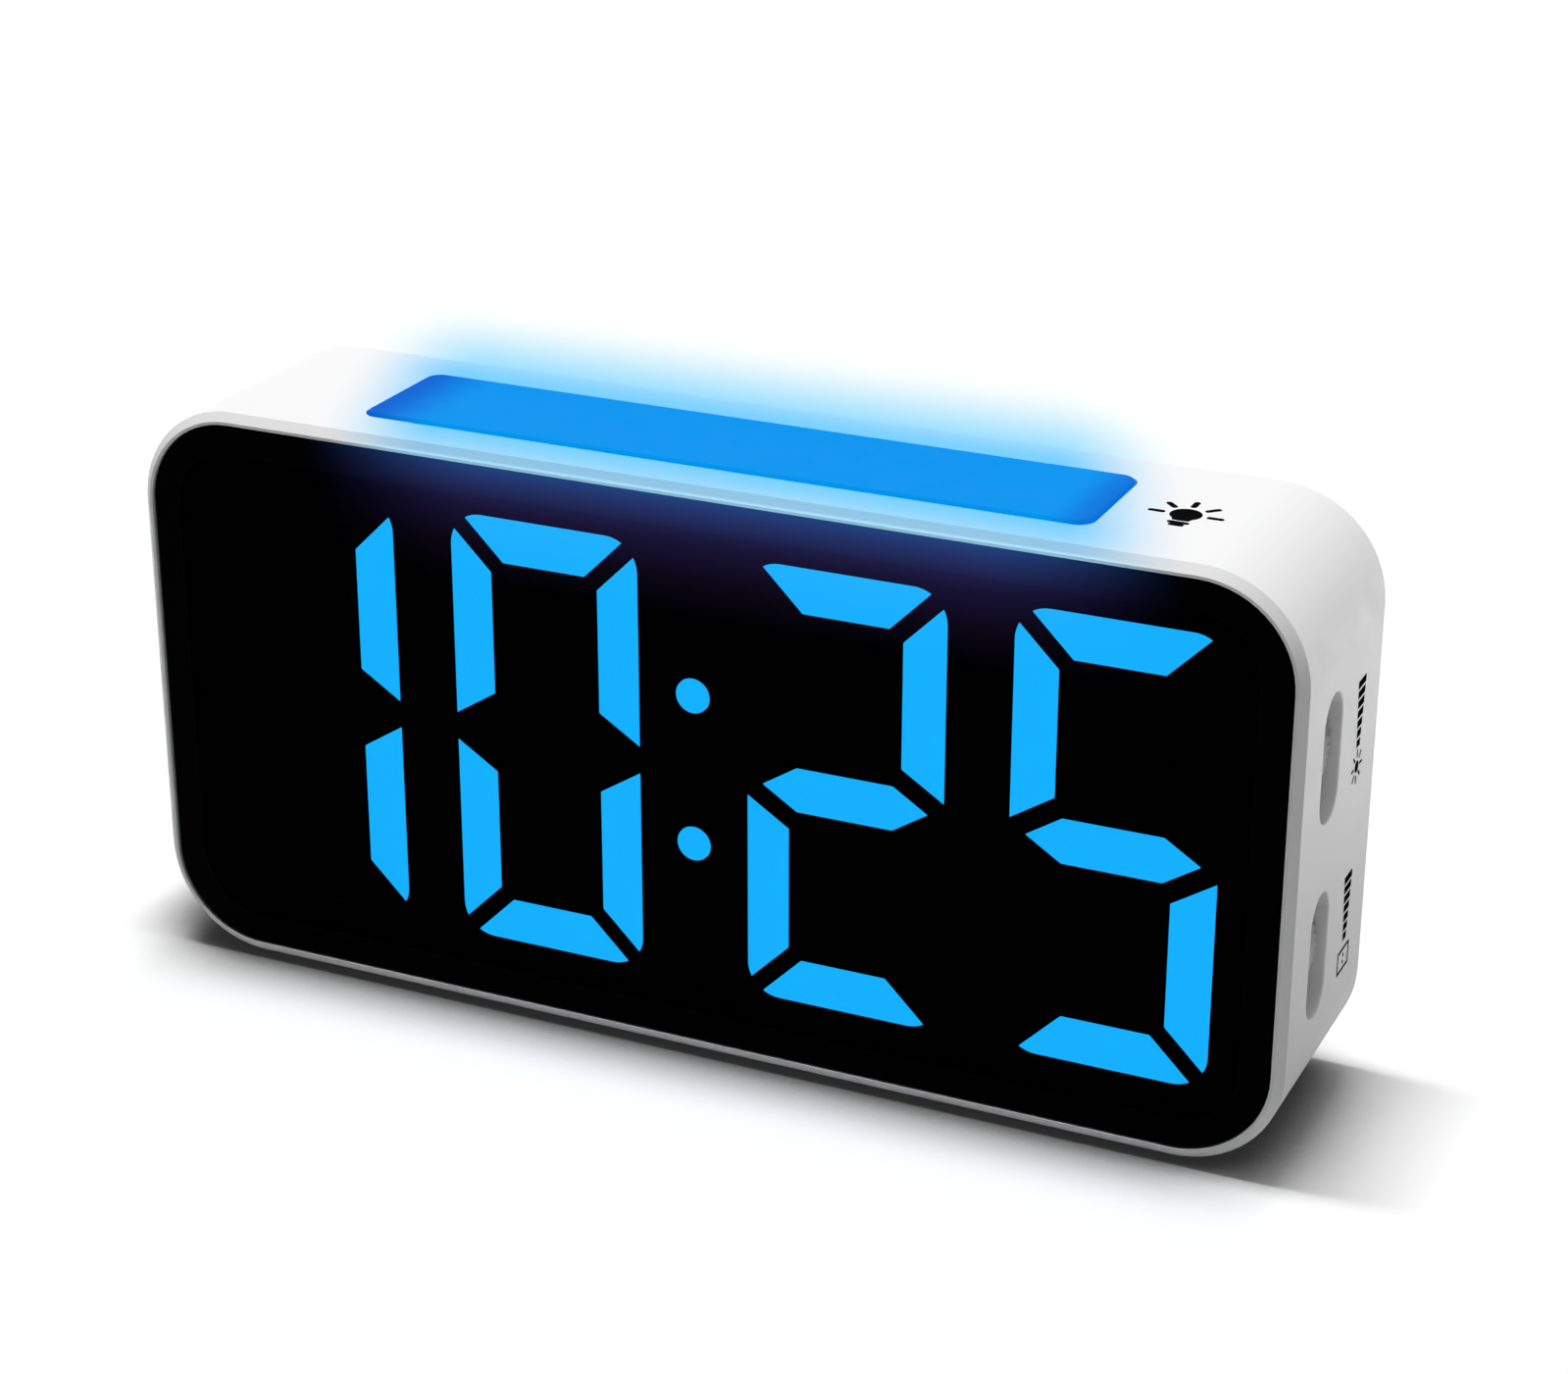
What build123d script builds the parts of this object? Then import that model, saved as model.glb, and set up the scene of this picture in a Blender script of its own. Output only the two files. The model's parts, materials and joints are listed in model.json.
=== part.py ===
from build123d import *
import os
from math import cos, radians, sin, sqrt

os.makedirs("parts", exist_ok=True)

# Case: a one-piece sleeve, open at the back, with a bevelled rim round the lens
case_width = 160.0
case_height = 78.2
case_depth = 33.6
corner_radius = 14.0
wall = 2.0
rim_lip = 0.4
rim_chamfer = 1.1
rear_round = 0.8
ledge_width = 3.2
ledge_thick = 1.6

# Gaps that all pieces share, and how far a cut runs past the face that it opens
seat_gap = 0.1
move_gap = 0.35
stop_gap = 0.3
shaft_gap = 0.05
overrun = 1.0

# Lens and its adhesive frame
lens_recess = 0.2
lens_thick = 2.0
lens_edge = 0.3
tape_thick = 0.2
tape_inset = 0.4

# Display module: a black reflector with light wells, and its board
lens_air = 0.15
reflector_gap = 0.4
reflector_behind = 3.0
flange_thick = 1.4
display_board_thick = 1.2
display_board_inset = 1.0
digit_height_share = 0.8824
digit_width_share = 0.1789
digit_pitch_share = 0.2363
digit_x_shares = (-1.593, -0.593, 0.593, 1.593)
segment_share = 0.2276
upright_share = 0.2165
digit_round_share = 0.168
mitre_gap_share = 0.0858
middle_gap_share = 0.1
middle_slope_share = 0.64
middle_tip_share = 0.4216
colon_size_share = 0.1784
colon_place_share = 0.1717
diffuser_thick = 1.1
diffuser_gap = 0.05
well_step = 0.7
led_length = 2.0
led_width = 1.25
led_height = 0.7
stake_radius = 0.6
stake_head_radius = 1.05
stake_head_height = 0.5
stake_x_shares = (-0.4, -0.16, 0.16, 0.4)

# Segment letters from the bottom row up, and what each digit shows from left to right
segment_order = "decgfba"
shown = ("bc", "abcdef", "abdeg", "acdfg")

# Light bar on top, its guide collar, and the light board below it
bar_end_margin = 30.1
bar_front_margin = 7.6
bar_round = 2.0
bar_edge = 0.3
bar_rise = 0.4
bar_cap = 1.6
bar_skirt = 1.4
bar_travel = 0.8
collar_thick = 1.2
collar_drop = 1.6
lug_thick = 1.2
lug_width = 10.0
light_board_gap = 1.6
light_board_edge = 0.7
light_board_air = 1.0
lamp_size = 5.0
lamp_height = 1.6
lamp_x_shares = (-0.45, -0.27, -0.09, 0.09, 0.27, 0.45)
bar_switch_x_share = 0.36

# Push switches: a square base and a round plunger
switch_size = 6.0
switch_floor = 0.6
plunger_radius = 1.7
plunger_hold = 1.0
bar_switch_height = 3.1

# Thumbwheels behind the two slots in the right wall
wheel_radius = 10.0
wheel_sink = 1.0
wheel_air = 1.0
wheel_width_share = 0.1905
wheel_z_shares = (0.1611, -0.1771)
wheel_rim = 2.4
wheel_web_share = 0.4
wheel_hub_radius = 3.4
knurl_count = 56
knurl_depth = 0.5
slot_length = 16.8
slot_width = 7.4
slot_round = 0.3
shaft_radius = 1.5
shaft_flat_share = 0.6
pot_width = 11.0
pot_height = 12.0
pot_round = 2.0
pot_air = 0.4

# Control board and what stands on its front
board_thick = 1.6
board_place_share = 0.5952
board_round = 2.0
control_air = 0.6
control_side_air = 1.5
chip_x_share = -0.1
chip_z_share = -0.12
chip_width = 17.9
chip_height = 7.5
chip_thick = 2.3
chip_stand = 0.2
lead_count = 14
lead_reach = 1.4
lead_width = 0.45
lead_thick = 0.3
crystal_x_share = -0.1
crystal_z_share = 0.12
crystal_length = 10.5
crystal_width = 3.8
crystal_thick = 3.4
capacitor_x_shares = (0.08, 0.16)
capacitor_z_share = 0.1
capacitor_radius = 3.15
capacitor_height = 7.0
capacitor_groove = 0.35
capacitor_groove_share = 0.78
link_x_share = -0.3
link_z_share = 0.2
link_length = 25.4
link_width = 5.0
link_count = 10
link_pin = 0.64
link_base_share = 0.22
link_socket_share = 0.7
cable_x_share = -0.05
cable_width = 10.0
cable_thick = 0.6
cable_plug_width = 13.0
cable_plug_height = 5.0
cable_plug_depth = 2.4

# Rear cover: an inset plate with a sunken control strip
cover_inset = 0.2
cover_thick = 2.0
tray_depth_share = 0.2
tray_floor = 1.4
tray_wall = 1.4
tray_margin = 4.0
tray_round = 3.0
tray_width_share = 0.68
control_row_share = 0.175
button_names = ("time", "alarm", "hour", "minute", "volume")
button_x_shares = (-0.26, -0.16, -0.06, 0.04, 0.14)
button_width = 9.0
button_height = 5.0
button_round = 2.4
button_sink = 0.2
button_edge = 0.4
button_flange = 1.2
button_travel = 0.8
rear_switch_share = 0.29
slider_x_share = 0.26
slider_width = 6.0
slider_height = 5.0
slider_neck = 3.0
slider_travel = 3.0
slider_grip = 0.5
slide_base_length = 10.0
slide_base_width = 4.4
lever_width = 1.8

# Power inlet, buzzer, backup cell and its twist door
lower_row_share = -0.17
jack_x_share = -0.31
jack_size = 9.0
jack_bore_radius = 3.2
jack_floor = 0.8
jack_hole_radius = 3.9
jack_pin_radius = 1.0
jack_pin_sink = 1.0
buzzer_x_share = -0.13
buzzer_radius = 7.0
buzzer_height_share = 0.5
buzzer_mouth_radius = 1.2
sound_hole_radius = 0.8
sound_ring_radius = 3.2
sound_ring_count = 6
cell_x_share = 0.16
cell_radius = 10.0
cell_thick = 3.2
cell_edge = 0.3
holder_floor = 0.8
holder_wall = 1.0
contact_thick = 0.3
contact_width = 3.0
door_radius = 12.0
door_ear_reach = 1.6
door_ear_width = 9.0
door_ear_thick = 1.2
door_turn = 50.0
coin_slot_length = 14.0
coin_slot_width = 2.0
coin_slot_depth = 1.0

# Screws, bosses and feet
boss_radius = 4.0
boss_margin = 0.8
small_boss_radius = 2.5
cover_screw_radius = 1.3
cover_head_radius = 2.4
cover_head_height = 1.2
cover_screw_bite = 8.0
small_screw_radius = 1.0
small_head_radius = 1.9
small_head_height = 0.8
small_screw_bite = 2.8
board_screw_bite = 6.0
cross_share = 0.62
cross_width_share = 0.2
standoff_x_share = 0.36
standoff_z_share = 0.43
foot_lift = 0.8
foot_pocket = 0.8
foot_radius = 4.5
foot_edge = 0.3
foot_x_share = 0.36
foot_y_share = 0.27

# Case outline, worked out from the sizes above
rim = rim_lip + rim_chamfer
top_z = foot_lift + case_height
mid_z = foot_lift + case_height / 2
right_x = case_width / 2
inner_width = case_width - 2 * wall
inner_height = case_height - 2 * wall
inner_radius = corner_radius - wall
opening_width = case_width - 2 * rim
opening_height = case_height - 2 * rim
opening_radius = corner_radius - rim
window_width = opening_width - 2 * ledge_width
window_height = opening_height - 2 * ledge_width
window_radius = opening_radius - ledge_width

# Depths behind the front rim
lens_rear = lens_recess + lens_thick
ledge_front = lens_rear + tape_thick
ledge_rear = ledge_front + ledge_thick
face_depth = lens_rear + lens_air
flange_rear = ledge_rear + flange_thick
reflector_rear = ledge_rear + reflector_behind
display_board_rear = reflector_rear + display_board_thick
wheel_front = display_board_rear + wheel_air
wheel_width = wheel_width_share * case_depth
wheel_rear = wheel_front + wheel_width
wheel_middle = (wheel_front + wheel_rear) / 2
pot_front = wheel_rear + pot_air
board_front = board_place_share * case_depth
board_rear = board_front + board_thick
cover_rear = case_depth - cover_inset
cover_front = cover_rear - cover_thick
rear_space = cover_rear - board_rear
tray_floor_rear = cover_rear - tray_depth_share * rear_space
tray_floor_front = tray_floor_rear - tray_floor
flange_seat = tray_floor_front - stop_gap
flange_foot = flange_seat - button_flange
rear_switch_rear = board_rear + rear_switch_share * rear_space
rear_plunger_rear = rear_switch_rear + button_travel + stop_gap

# Light bar, as large as the margins round it leave it, and the heights of what lies under it
bar_width = case_width - 2 * bar_end_margin
bar_depth = case_depth - 2 * bar_front_margin
bar_window_width = bar_width + 2 * move_gap
bar_window_depth = bar_depth + 2 * move_gap
bar_window_round = bar_round + move_gap
bar_top = top_z + bar_rise
bar_ceiling = bar_top - bar_cap
collar_bottom = top_z - wall - collar_drop
bar_bottom = collar_bottom - stop_gap - lug_thick
light_board_top = bar_bottom - bar_travel - light_board_air
light_board_bottom = light_board_top - board_thick
cable_rear = board_rear + (cable_plug_depth + cable_thick) / 2
light_board_front = display_board_rear + light_board_gap
light_board_rear = cable_rear + light_board_edge
light_board_middle = (light_board_front + light_board_rear - case_depth) / 2
bar_plunger_top = light_board_top + bar_switch_height + bar_travel + stop_gap
light_boss_x = bar_window_width / 2 + 2 * collar_thick + small_boss_radius
light_board_width = 2 * (light_boss_x + small_boss_radius)
display_board_height = 2 * (bar_bottom - bar_travel - stop_gap - mid_z)
bar_switch_places = [(share * bar_width, 0) for share in (-bar_switch_x_share, bar_switch_x_share)]
light_screw_places = [(-light_boss_x, 0), (light_boss_x, 0)]

# Display module as it lies behind the window
reflector_width = window_width - 2 * reflector_gap
reflector_height = window_height - 2 * reflector_gap
reflector_radius = window_radius - reflector_gap
flange_width = inner_width - 2 * reflector_gap
flange_height = inner_height - 2 * reflector_gap
flange_radius = inner_radius - reflector_gap
digit_width = digit_width_share * reflector_width
digit_height = digit_height_share * reflector_height
digit_pitch = digit_pitch_share * reflector_width
digit_round = digit_round_share * digit_width
segment_width = segment_share * digit_width
upright_width = upright_share * digit_width
mitre_gap = mitre_gap_share * digit_width
middle_gap = middle_gap_share * digit_width
middle_tip = middle_tip_share * digit_width
colon_radius = colon_size_share * digit_width / 2
colon_z = colon_place_share * digit_height
colon_places = [(0, -colon_z), (0, colon_z)]
digit_xs = [share * digit_pitch for share in digit_x_shares]
display_screw_x = (digit_xs[2] + digit_xs[3]) / 2
display_screw_z = digit_height / 3
stake_z = (window_height + flange_height) / 4
stake_places = [(share * window_width, z) for share in stake_x_shares for z in (-stake_z, stake_z)]

# Wheels, rear controls and fixings as seen from the front
wheel_x = right_x - wheel_sink - wheel_radius
wheel_zs = [share * case_height for share in wheel_z_shares]
wheel_places = [(wheel_x, z) for z in wheel_zs]
tray_width = tray_width_share * inner_width
tray_height = button_height + 2 * tray_margin
control_row_z = control_row_share * inner_height
lower_row_z = lower_row_share * inner_height
button_places = [(share * inner_width, control_row_z) for share in button_x_shares]
slider_x = slider_x_share * inner_width
slide_middle = (slider_x + slider_travel / 2, control_row_z)
jack_place = (jack_x_share * inner_width, lower_row_z)
buzzer_place = (buzzer_x_share * inner_width, lower_row_z)
cell_place = (cell_x_share * inner_width, lower_row_z)
boss_reach = (inner_radius - cover_head_radius - 2 * seat_gap - boss_margin) / sqrt(2)
boss_x = inner_width / 2 - inner_radius + boss_reach
boss_z = inner_height / 2 - inner_radius + boss_reach
boss_front = display_board_rear + stop_gap
control_width = inner_width - 2 * control_side_air
control_height = 2 * (boss_z - boss_radius - control_air)


def upright(behind):
    """Plane across the clock, this far behind the front rim, facing the front."""
    return Plane(origin=(0, behind - case_depth / 2, mid_z), x_dir=(1, 0, 0), z_dir=(0, -1, 0))


def rearward(behind):
    """The same plane facing the back, so that its first axis runs to the clock's left."""
    return Plane(origin=(0, behind - case_depth / 2, mid_z), x_dir=(-1, 0, 0), z_dir=(0, 1, 0))


def corners(x, z):
    """The four places that lie this far from the middle both ways."""
    return [(-x, -z), (x, -z), (-x, z), (x, z)]


def save(built, name):
    """Name a finished piece and write it."""
    built.part.label = name
    export_step(built.part, "parts/" + name + ".step")


def screw_group(plane, places, head_radius, head_height, shank_radius, shank_length):
    """Pan-head screws with cross recesses; the heads stand on the plane, the shanks run below it."""
    with BuildPart() as screws:
        with BuildSketch(plane):
            with Locations(*places):
                Circle(head_radius)
        extrude(amount=head_height)
        with BuildSketch(plane):
            with Locations(*places):
                Circle(shank_radius)
        extrude(amount=-shank_length)
        with BuildSketch(plane.offset(head_height)):
            with Locations(*places):
                Rectangle(2 * cross_share * head_radius, 2 * cross_width_share * head_radius)
                Rectangle(2 * cross_width_share * head_radius, 2 * cross_share * head_radius)
        extrude(amount=-head_height / 2, mode=Mode.SUBTRACT)
    return screws


def switch_bases(plane, places, height):
    """Square switch bases on the plane, each with a well for its plunger."""
    with BuildPart() as bases:
        with BuildSketch(plane):
            with Locations(*places):
                Rectangle(switch_size, switch_size)
        extrude(amount=height)
        with BuildSketch(plane.offset(switch_floor)):
            with Locations(*places):
                Circle(plunger_radius + shaft_gap)
        extrude(amount=height, mode=Mode.SUBTRACT)
    return bases


def plungers(plane, places, travel):
    """Round switch plungers with their tops on the plane, which can sink into their bases this far."""
    with BuildPart() as pins:
        with BuildSketch(plane):
            with Locations(*places):
                Circle(plunger_radius)
        extrude(amount=-(travel + stop_gap + plunger_hold))
    return pins


# Main case
display_screw_places = corners(display_screw_x, display_screw_z)
boss_places = corners(boss_x, boss_z)
standoff_places = corners(standoff_x_share * control_width, standoff_z_share * control_height)
foot_places = corners(foot_x_share * case_width, foot_y_share * case_depth)
with BuildPart() as main_case:
    with BuildSketch(upright(case_depth)):
        RectangleRounded(case_width, case_height, corner_radius)
    extrude(amount=case_depth)
    chamfer(main_case.faces().sort_by(Axis.Y)[0].edges(), rim_chamfer)
    fillet(main_case.faces().sort_by(Axis.Y)[-1].edges(), rear_round)
    # The hollow behind the ledge, the lens seat in front of it and the display window
    with BuildSketch(upright(case_depth + overrun)):
        RectangleRounded(inner_width, inner_height, inner_radius)
    extrude(amount=case_depth + overrun - ledge_rear, mode=Mode.SUBTRACT)
    with BuildSketch(upright(ledge_front)):
        RectangleRounded(opening_width, opening_height, opening_radius)
    extrude(amount=ledge_front + overrun, mode=Mode.SUBTRACT)
    with BuildSketch(upright(ledge_rear + overrun)):
        RectangleRounded(window_width, window_height, window_radius)
    extrude(amount=ledge_rear + overrun, mode=Mode.SUBTRACT)
    # Corner bosses for the cover screws
    with BuildSketch(upright(cover_front)):
        with Locations(*boss_places):
            Circle(boss_radius)
    extrude(amount=cover_front - boss_front)
    with BuildSketch(upright(cover_front)):
        with Locations(*boss_places):
            Circle(cover_screw_radius + shaft_gap)
    extrude(amount=cover_screw_bite + overrun, mode=Mode.SUBTRACT)
    # Stakes that hold the reflector's flange, with their formed heads
    with BuildSketch(upright(flange_rear)):
        with Locations(*stake_places):
            Circle(stake_radius)
    extrude(amount=flange_thick)
    with BuildSketch(upright(flange_rear + stake_head_height)):
        with Locations(*stake_places):
            Circle(stake_head_radius)
    extrude(amount=stake_head_height)
    # Collar round the light bar, bosses for the light board, and the bar's window
    with BuildSketch(Plane.XY.offset(collar_bottom)):
        RectangleRounded(
            bar_window_width + 2 * collar_thick,
            bar_window_depth + 2 * collar_thick,
            bar_window_round + collar_thick,
        )
    extrude(amount=top_z - wall / 2 - collar_bottom)
    with BuildSketch(Plane.XY.offset(light_board_top)):
        with Locations(*light_screw_places):
            Circle(small_boss_radius)
    extrude(amount=top_z - wall / 2 - light_board_top)
    with BuildSketch(Plane.XY.offset(light_board_top)):
        with Locations(*light_screw_places):
            Circle(small_screw_radius + shaft_gap)
    extrude(amount=small_screw_bite + stop_gap, mode=Mode.SUBTRACT)
    with BuildSketch(Plane.XY.offset(collar_bottom - overrun)):
        RectangleRounded(bar_window_width, bar_window_depth, bar_window_round)
    extrude(amount=top_z - collar_bottom + 2 * overrun, mode=Mode.SUBTRACT)
    # Thumbwheel slots in the right wall, with softened edges
    with BuildSketch(Plane.YZ.offset(right_x - wall - overrun)):
        with Locations(*[(wheel_middle - case_depth / 2, mid_z + z) for z in wheel_zs]):
            SlotOverall(slot_length, slot_width, rotation=90)
    extrude(amount=wall + 2 * overrun, mode=Mode.SUBTRACT)
    slot_edges = main_case.edges(Select.LAST)
    fillet(slot_edges.filter_by_position(Axis.X, right_x - wall / 4, right_x + overrun), slot_round)
    # Pockets for the feet
    with BuildSketch(Plane.XY.offset(foot_lift - overrun)):
        with Locations(*foot_places):
            Circle(foot_radius + seat_gap)
    extrude(amount=foot_pocket + overrun, mode=Mode.SUBTRACT)
save(main_case, "main_case")

# Front lens
with BuildPart() as front_lens:
    with BuildSketch(upright(lens_rear)):
        RectangleRounded(
            opening_width - 2 * seat_gap, opening_height - 2 * seat_gap, opening_radius - seat_gap
        )
    extrude(amount=lens_thick)
    chamfer(front_lens.faces().sort_by(Axis.Y)[0].edges(), lens_edge)
save(front_lens, "front_lens")

# Adhesive frame between the lens and the ledge
with BuildPart() as lens_adhesive:
    with BuildSketch(upright(ledge_front)):
        RectangleRounded(
            opening_width - 2 * tape_inset, opening_height - 2 * tape_inset, opening_radius - tape_inset
        )
        RectangleRounded(
            window_width + 2 * tape_inset,
            window_height + 2 * tape_inset,
            window_radius + tape_inset,
            mode=Mode.SUBTRACT,
        )
    extrude(amount=tape_thick)
save(lens_adhesive, "lens_adhesive")

# Digits: a rounded figure of eight, cut into seven segments by mitred gaps
bay_height = digit_height / 2 - segment_width * 3 / 2
slope_run = 1 / sqrt(1 + middle_slope_share * middle_slope_share)
slope_rise = middle_slope_share * slope_run
slope_reach = 2 * segment_width
far_x = digit_width / 2 + mitre_gap / 2
gap_x = middle_tip + slope_rise * middle_gap
gap_z = slope_run * middle_gap
far_z = gap_z - middle_slope_share * (far_x - gap_x)
with BuildSketch() as figure_eight:
    RectangleRounded(digit_width, digit_height, digit_round)
    with GridLocations(0, bay_height + segment_width, 1, 2):
        Rectangle(digit_width - 2 * upright_width, bay_height, mode=Mode.SUBTRACT)
    for side in (-1, 1):
        for level in (-1, 1):
            # Mitre through the middle of the corner, at 45 degrees
            corner_x = side * (digit_width - upright_width) / 2
            corner_z = level * (digit_height - segment_width) / 2
            with Locations((corner_x, corner_z)):
                Rectangle(3 * segment_width, mitre_gap, rotation=45 * side * level, mode=Mode.SUBTRACT)
            # Sloping gap from the middle segment's tip to the upright beside it
            with BuildLine():
                Polyline(
                    (side * middle_tip, 0),
                    (side * (middle_tip - slope_run * slope_reach), level * slope_rise * slope_reach),
                    (side * (gap_x - slope_run * slope_reach), level * (gap_z + slope_rise * slope_reach)),
                    (side * far_x, level * far_z),
                    (side * far_x, 0),
                    close=True,
                )
            make_face(mode=Mode.SUBTRACT)
segment_rows = figure_eight.faces().group_by(Axis.Y)
segment_faces = [face for row in segment_rows for face in row.sort_by(Axis.X)]
segments = dict(zip(segment_order, segment_faces))


def digit_places():
    """Each segment of each digit: its letter, the digit's place and whether it is lit."""
    for x, letters in zip(digit_xs, shown):
        for letter in segment_order:
            yield letter, x, letter in letters


def diffusers(lit):
    """The milky inserts of the lit or of the unlit segments."""
    with BuildPart() as inserts:
        with BuildSketch(upright(face_depth + diffuser_thick)):
            for letter, x, is_lit in digit_places():
                if is_lit == lit:
                    with Locations((x, 0)):
                        add(segments[letter])
            offset(amount=-diffuser_gap, mode=Mode.REPLACE)
        extrude(amount=diffuser_thick)
    return inserts


# Display reflector, with a stepped light well behind every segment
with BuildPart() as display_reflector:
    with BuildSketch(upright(reflector_rear)):
        RectangleRounded(reflector_width, reflector_height, reflector_radius)
    extrude(amount=reflector_rear - face_depth)
    with BuildSketch(upright(flange_rear)):
        RectangleRounded(flange_width, flange_height, flange_radius)
        with Locations(*stake_places):
            Circle(stake_radius + seat_gap, mode=Mode.SUBTRACT)
    extrude(amount=flange_thick)
    with BuildSketch(upright(face_depth + diffuser_thick)):
        with Locations(*[(x, 0) for x in digit_xs]):
            add(figure_eight.sketch)
        with Locations(*colon_places):
            Circle(colon_radius)
    extrude(amount=diffuser_thick + overrun, mode=Mode.SUBTRACT)
    with BuildSketch(upright(reflector_rear + overrun)):
        with Locations(*[(x, 0) for x in digit_xs]):
            add(figure_eight.sketch)
        with Locations(*colon_places):
            Circle(colon_radius)
        offset(amount=-well_step, mode=Mode.REPLACE)
    extrude(amount=reflector_rear + overrun - face_depth, mode=Mode.SUBTRACT)
    with BuildSketch(upright(reflector_rear)):
        with Locations(*display_screw_places):
            Circle(small_screw_radius + shaft_gap)
    extrude(amount=small_screw_bite, mode=Mode.SUBTRACT)
save(display_reflector, "display_reflector")

save(diffusers(True), "lit_segments")
save(diffusers(False), "unlit_segments")

with BuildPart() as colon_dots:
    with BuildSketch(upright(face_depth + diffuser_thick)):
        with Locations(*colon_places):
            Circle(colon_radius - diffuser_gap)
    extrude(amount=diffuser_thick)
save(colon_dots, "colon_dots")

# Display board, its light chips and its screws
with BuildPart() as display_board:
    with BuildSketch(upright(display_board_rear)):
        RectangleRounded(reflector_width - 2 * display_board_inset, display_board_height, board_round)
        with Locations(*display_screw_places):
            Circle(small_screw_radius + seat_gap, mode=Mode.SUBTRACT)
    extrude(amount=display_board_thick)
save(display_board, "display_board")

with BuildPart() as segment_leds:
    with BuildSketch(upright(reflector_rear)):
        for letter, x, is_lit in digit_places():
            place = segments[letter].center()
            with Locations((x + place.X, place.Y)):
                Rectangle(led_length, led_width)
        with Locations(*colon_places):
            Rectangle(led_length, led_width)
    extrude(amount=led_height)
save(segment_leds, "segment_leds")

display_screws = screw_group(
    rearward(display_board_rear),
    display_screw_places,
    small_head_radius,
    small_head_height,
    small_screw_radius,
    display_board_thick + small_screw_bite - stop_gap,
)
save(display_screws, "display_screws")

# Light bar: a hollow milky cap with end lugs below the collar and two posts over the switches
with BuildPart() as light_bar:
    with BuildSketch(Plane.XY.offset(bar_bottom)):
        RectangleRounded(bar_width, bar_depth, bar_round)
    extrude(amount=bar_top - bar_bottom)
    fillet(light_bar.faces().sort_by(Axis.Z)[-1].edges(), bar_edge)
    with BuildSketch(Plane.XY.offset(bar_bottom)):
        Rectangle(bar_window_width + collar_thick, lug_width)
    extrude(amount=lug_thick)
    with BuildSketch(Plane.XY.offset(bar_bottom - overrun)):
        Rectangle(bar_width - 2 * bar_skirt, bar_depth - 2 * bar_skirt)
    extrude(amount=bar_ceiling - bar_bottom + overrun, mode=Mode.SUBTRACT)
    with BuildSketch(Plane.XY.offset(bar_plunger_top)):
        with Locations(*bar_switch_places):
            Circle(plunger_radius)
    extrude(amount=bar_ceiling - bar_plunger_top)
save(light_bar, "light_bar")

save(plungers(Plane.XY.offset(bar_plunger_top), bar_switch_places, bar_travel), "bar_plungers")
bar_switches = switch_bases(Plane.XY.offset(light_board_top), bar_switch_places, bar_switch_height)
save(bar_switches, "bar_switch_bases")

# Light board, its lamps, its screws and the flat cable down to the control board
with BuildPart() as light_board:
    with BuildSketch(Plane.XY.offset(light_board_bottom)):
        with Locations((0, light_board_middle)):
            RectangleRounded(light_board_width, light_board_rear - light_board_front, board_round)
        with Locations(*light_screw_places):
            Circle(small_screw_radius + seat_gap, mode=Mode.SUBTRACT)
    extrude(amount=board_thick)
save(light_board, "light_board")

with BuildPart() as light_lamps:
    with BuildSketch(Plane.XY.offset(light_board_top)):
        with Locations(*[(share * bar_width, 0) for share in lamp_x_shares]):
            Rectangle(lamp_size, lamp_size)
    extrude(amount=lamp_height)
save(light_lamps, "light_lamps")

light_screws = screw_group(
    Plane(origin=(0, 0, light_board_bottom), x_dir=(1, 0, 0), z_dir=(0, 0, -1)),
    light_screw_places,
    small_head_radius,
    small_head_height,
    small_screw_radius,
    board_thick + small_screw_bite,
)
save(light_screws, "light_board_screws")

cable_x = cable_x_share * control_width
cable_top_z = light_board_bottom - mid_z
plug_top_z = control_height / 2 - control_air
with BuildPart() as light_board_cable:
    with BuildSketch(upright(cable_rear)):
        with Locations((cable_x, (cable_top_z + plug_top_z) / 2)):
            Rectangle(cable_width, cable_top_z - plug_top_z)
    extrude(amount=cable_thick)
save(light_board_cable, "light_board_cable")

with BuildPart() as cable_plug:
    with BuildSketch(upright(board_rear + cable_plug_depth)):
        with Locations((cable_x, plug_top_z - cable_plug_height / 2)):
            Rectangle(cable_plug_width, cable_plug_height)
    extrude(amount=cable_plug_depth)
save(cable_plug, "cable_plug")

# Thumbwheels: a knurled rim, a thin web and a hub on a flatted shaft
knurl_points = []
for index in range(2 * knurl_count):
    knurl_radius = wheel_radius - knurl_depth * (index % 2)
    turn = radians(180 * index / knurl_count)
    knurl_points.append((knurl_radius * cos(turn), knurl_radius * sin(turn)))
with BuildSketch() as knurled_disc:
    with BuildLine():
        Polyline(*knurl_points, close=True)
    make_face()


def flatted(radius):
    """Round section with a flat on its upper side."""
    with BuildSketch() as section:
        Circle(radius)
        with Locations((0, radius * (1 + shaft_flat_share))):
            Rectangle(2 * radius, 2 * radius, mode=Mode.SUBTRACT)
    return section.sketch


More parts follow.
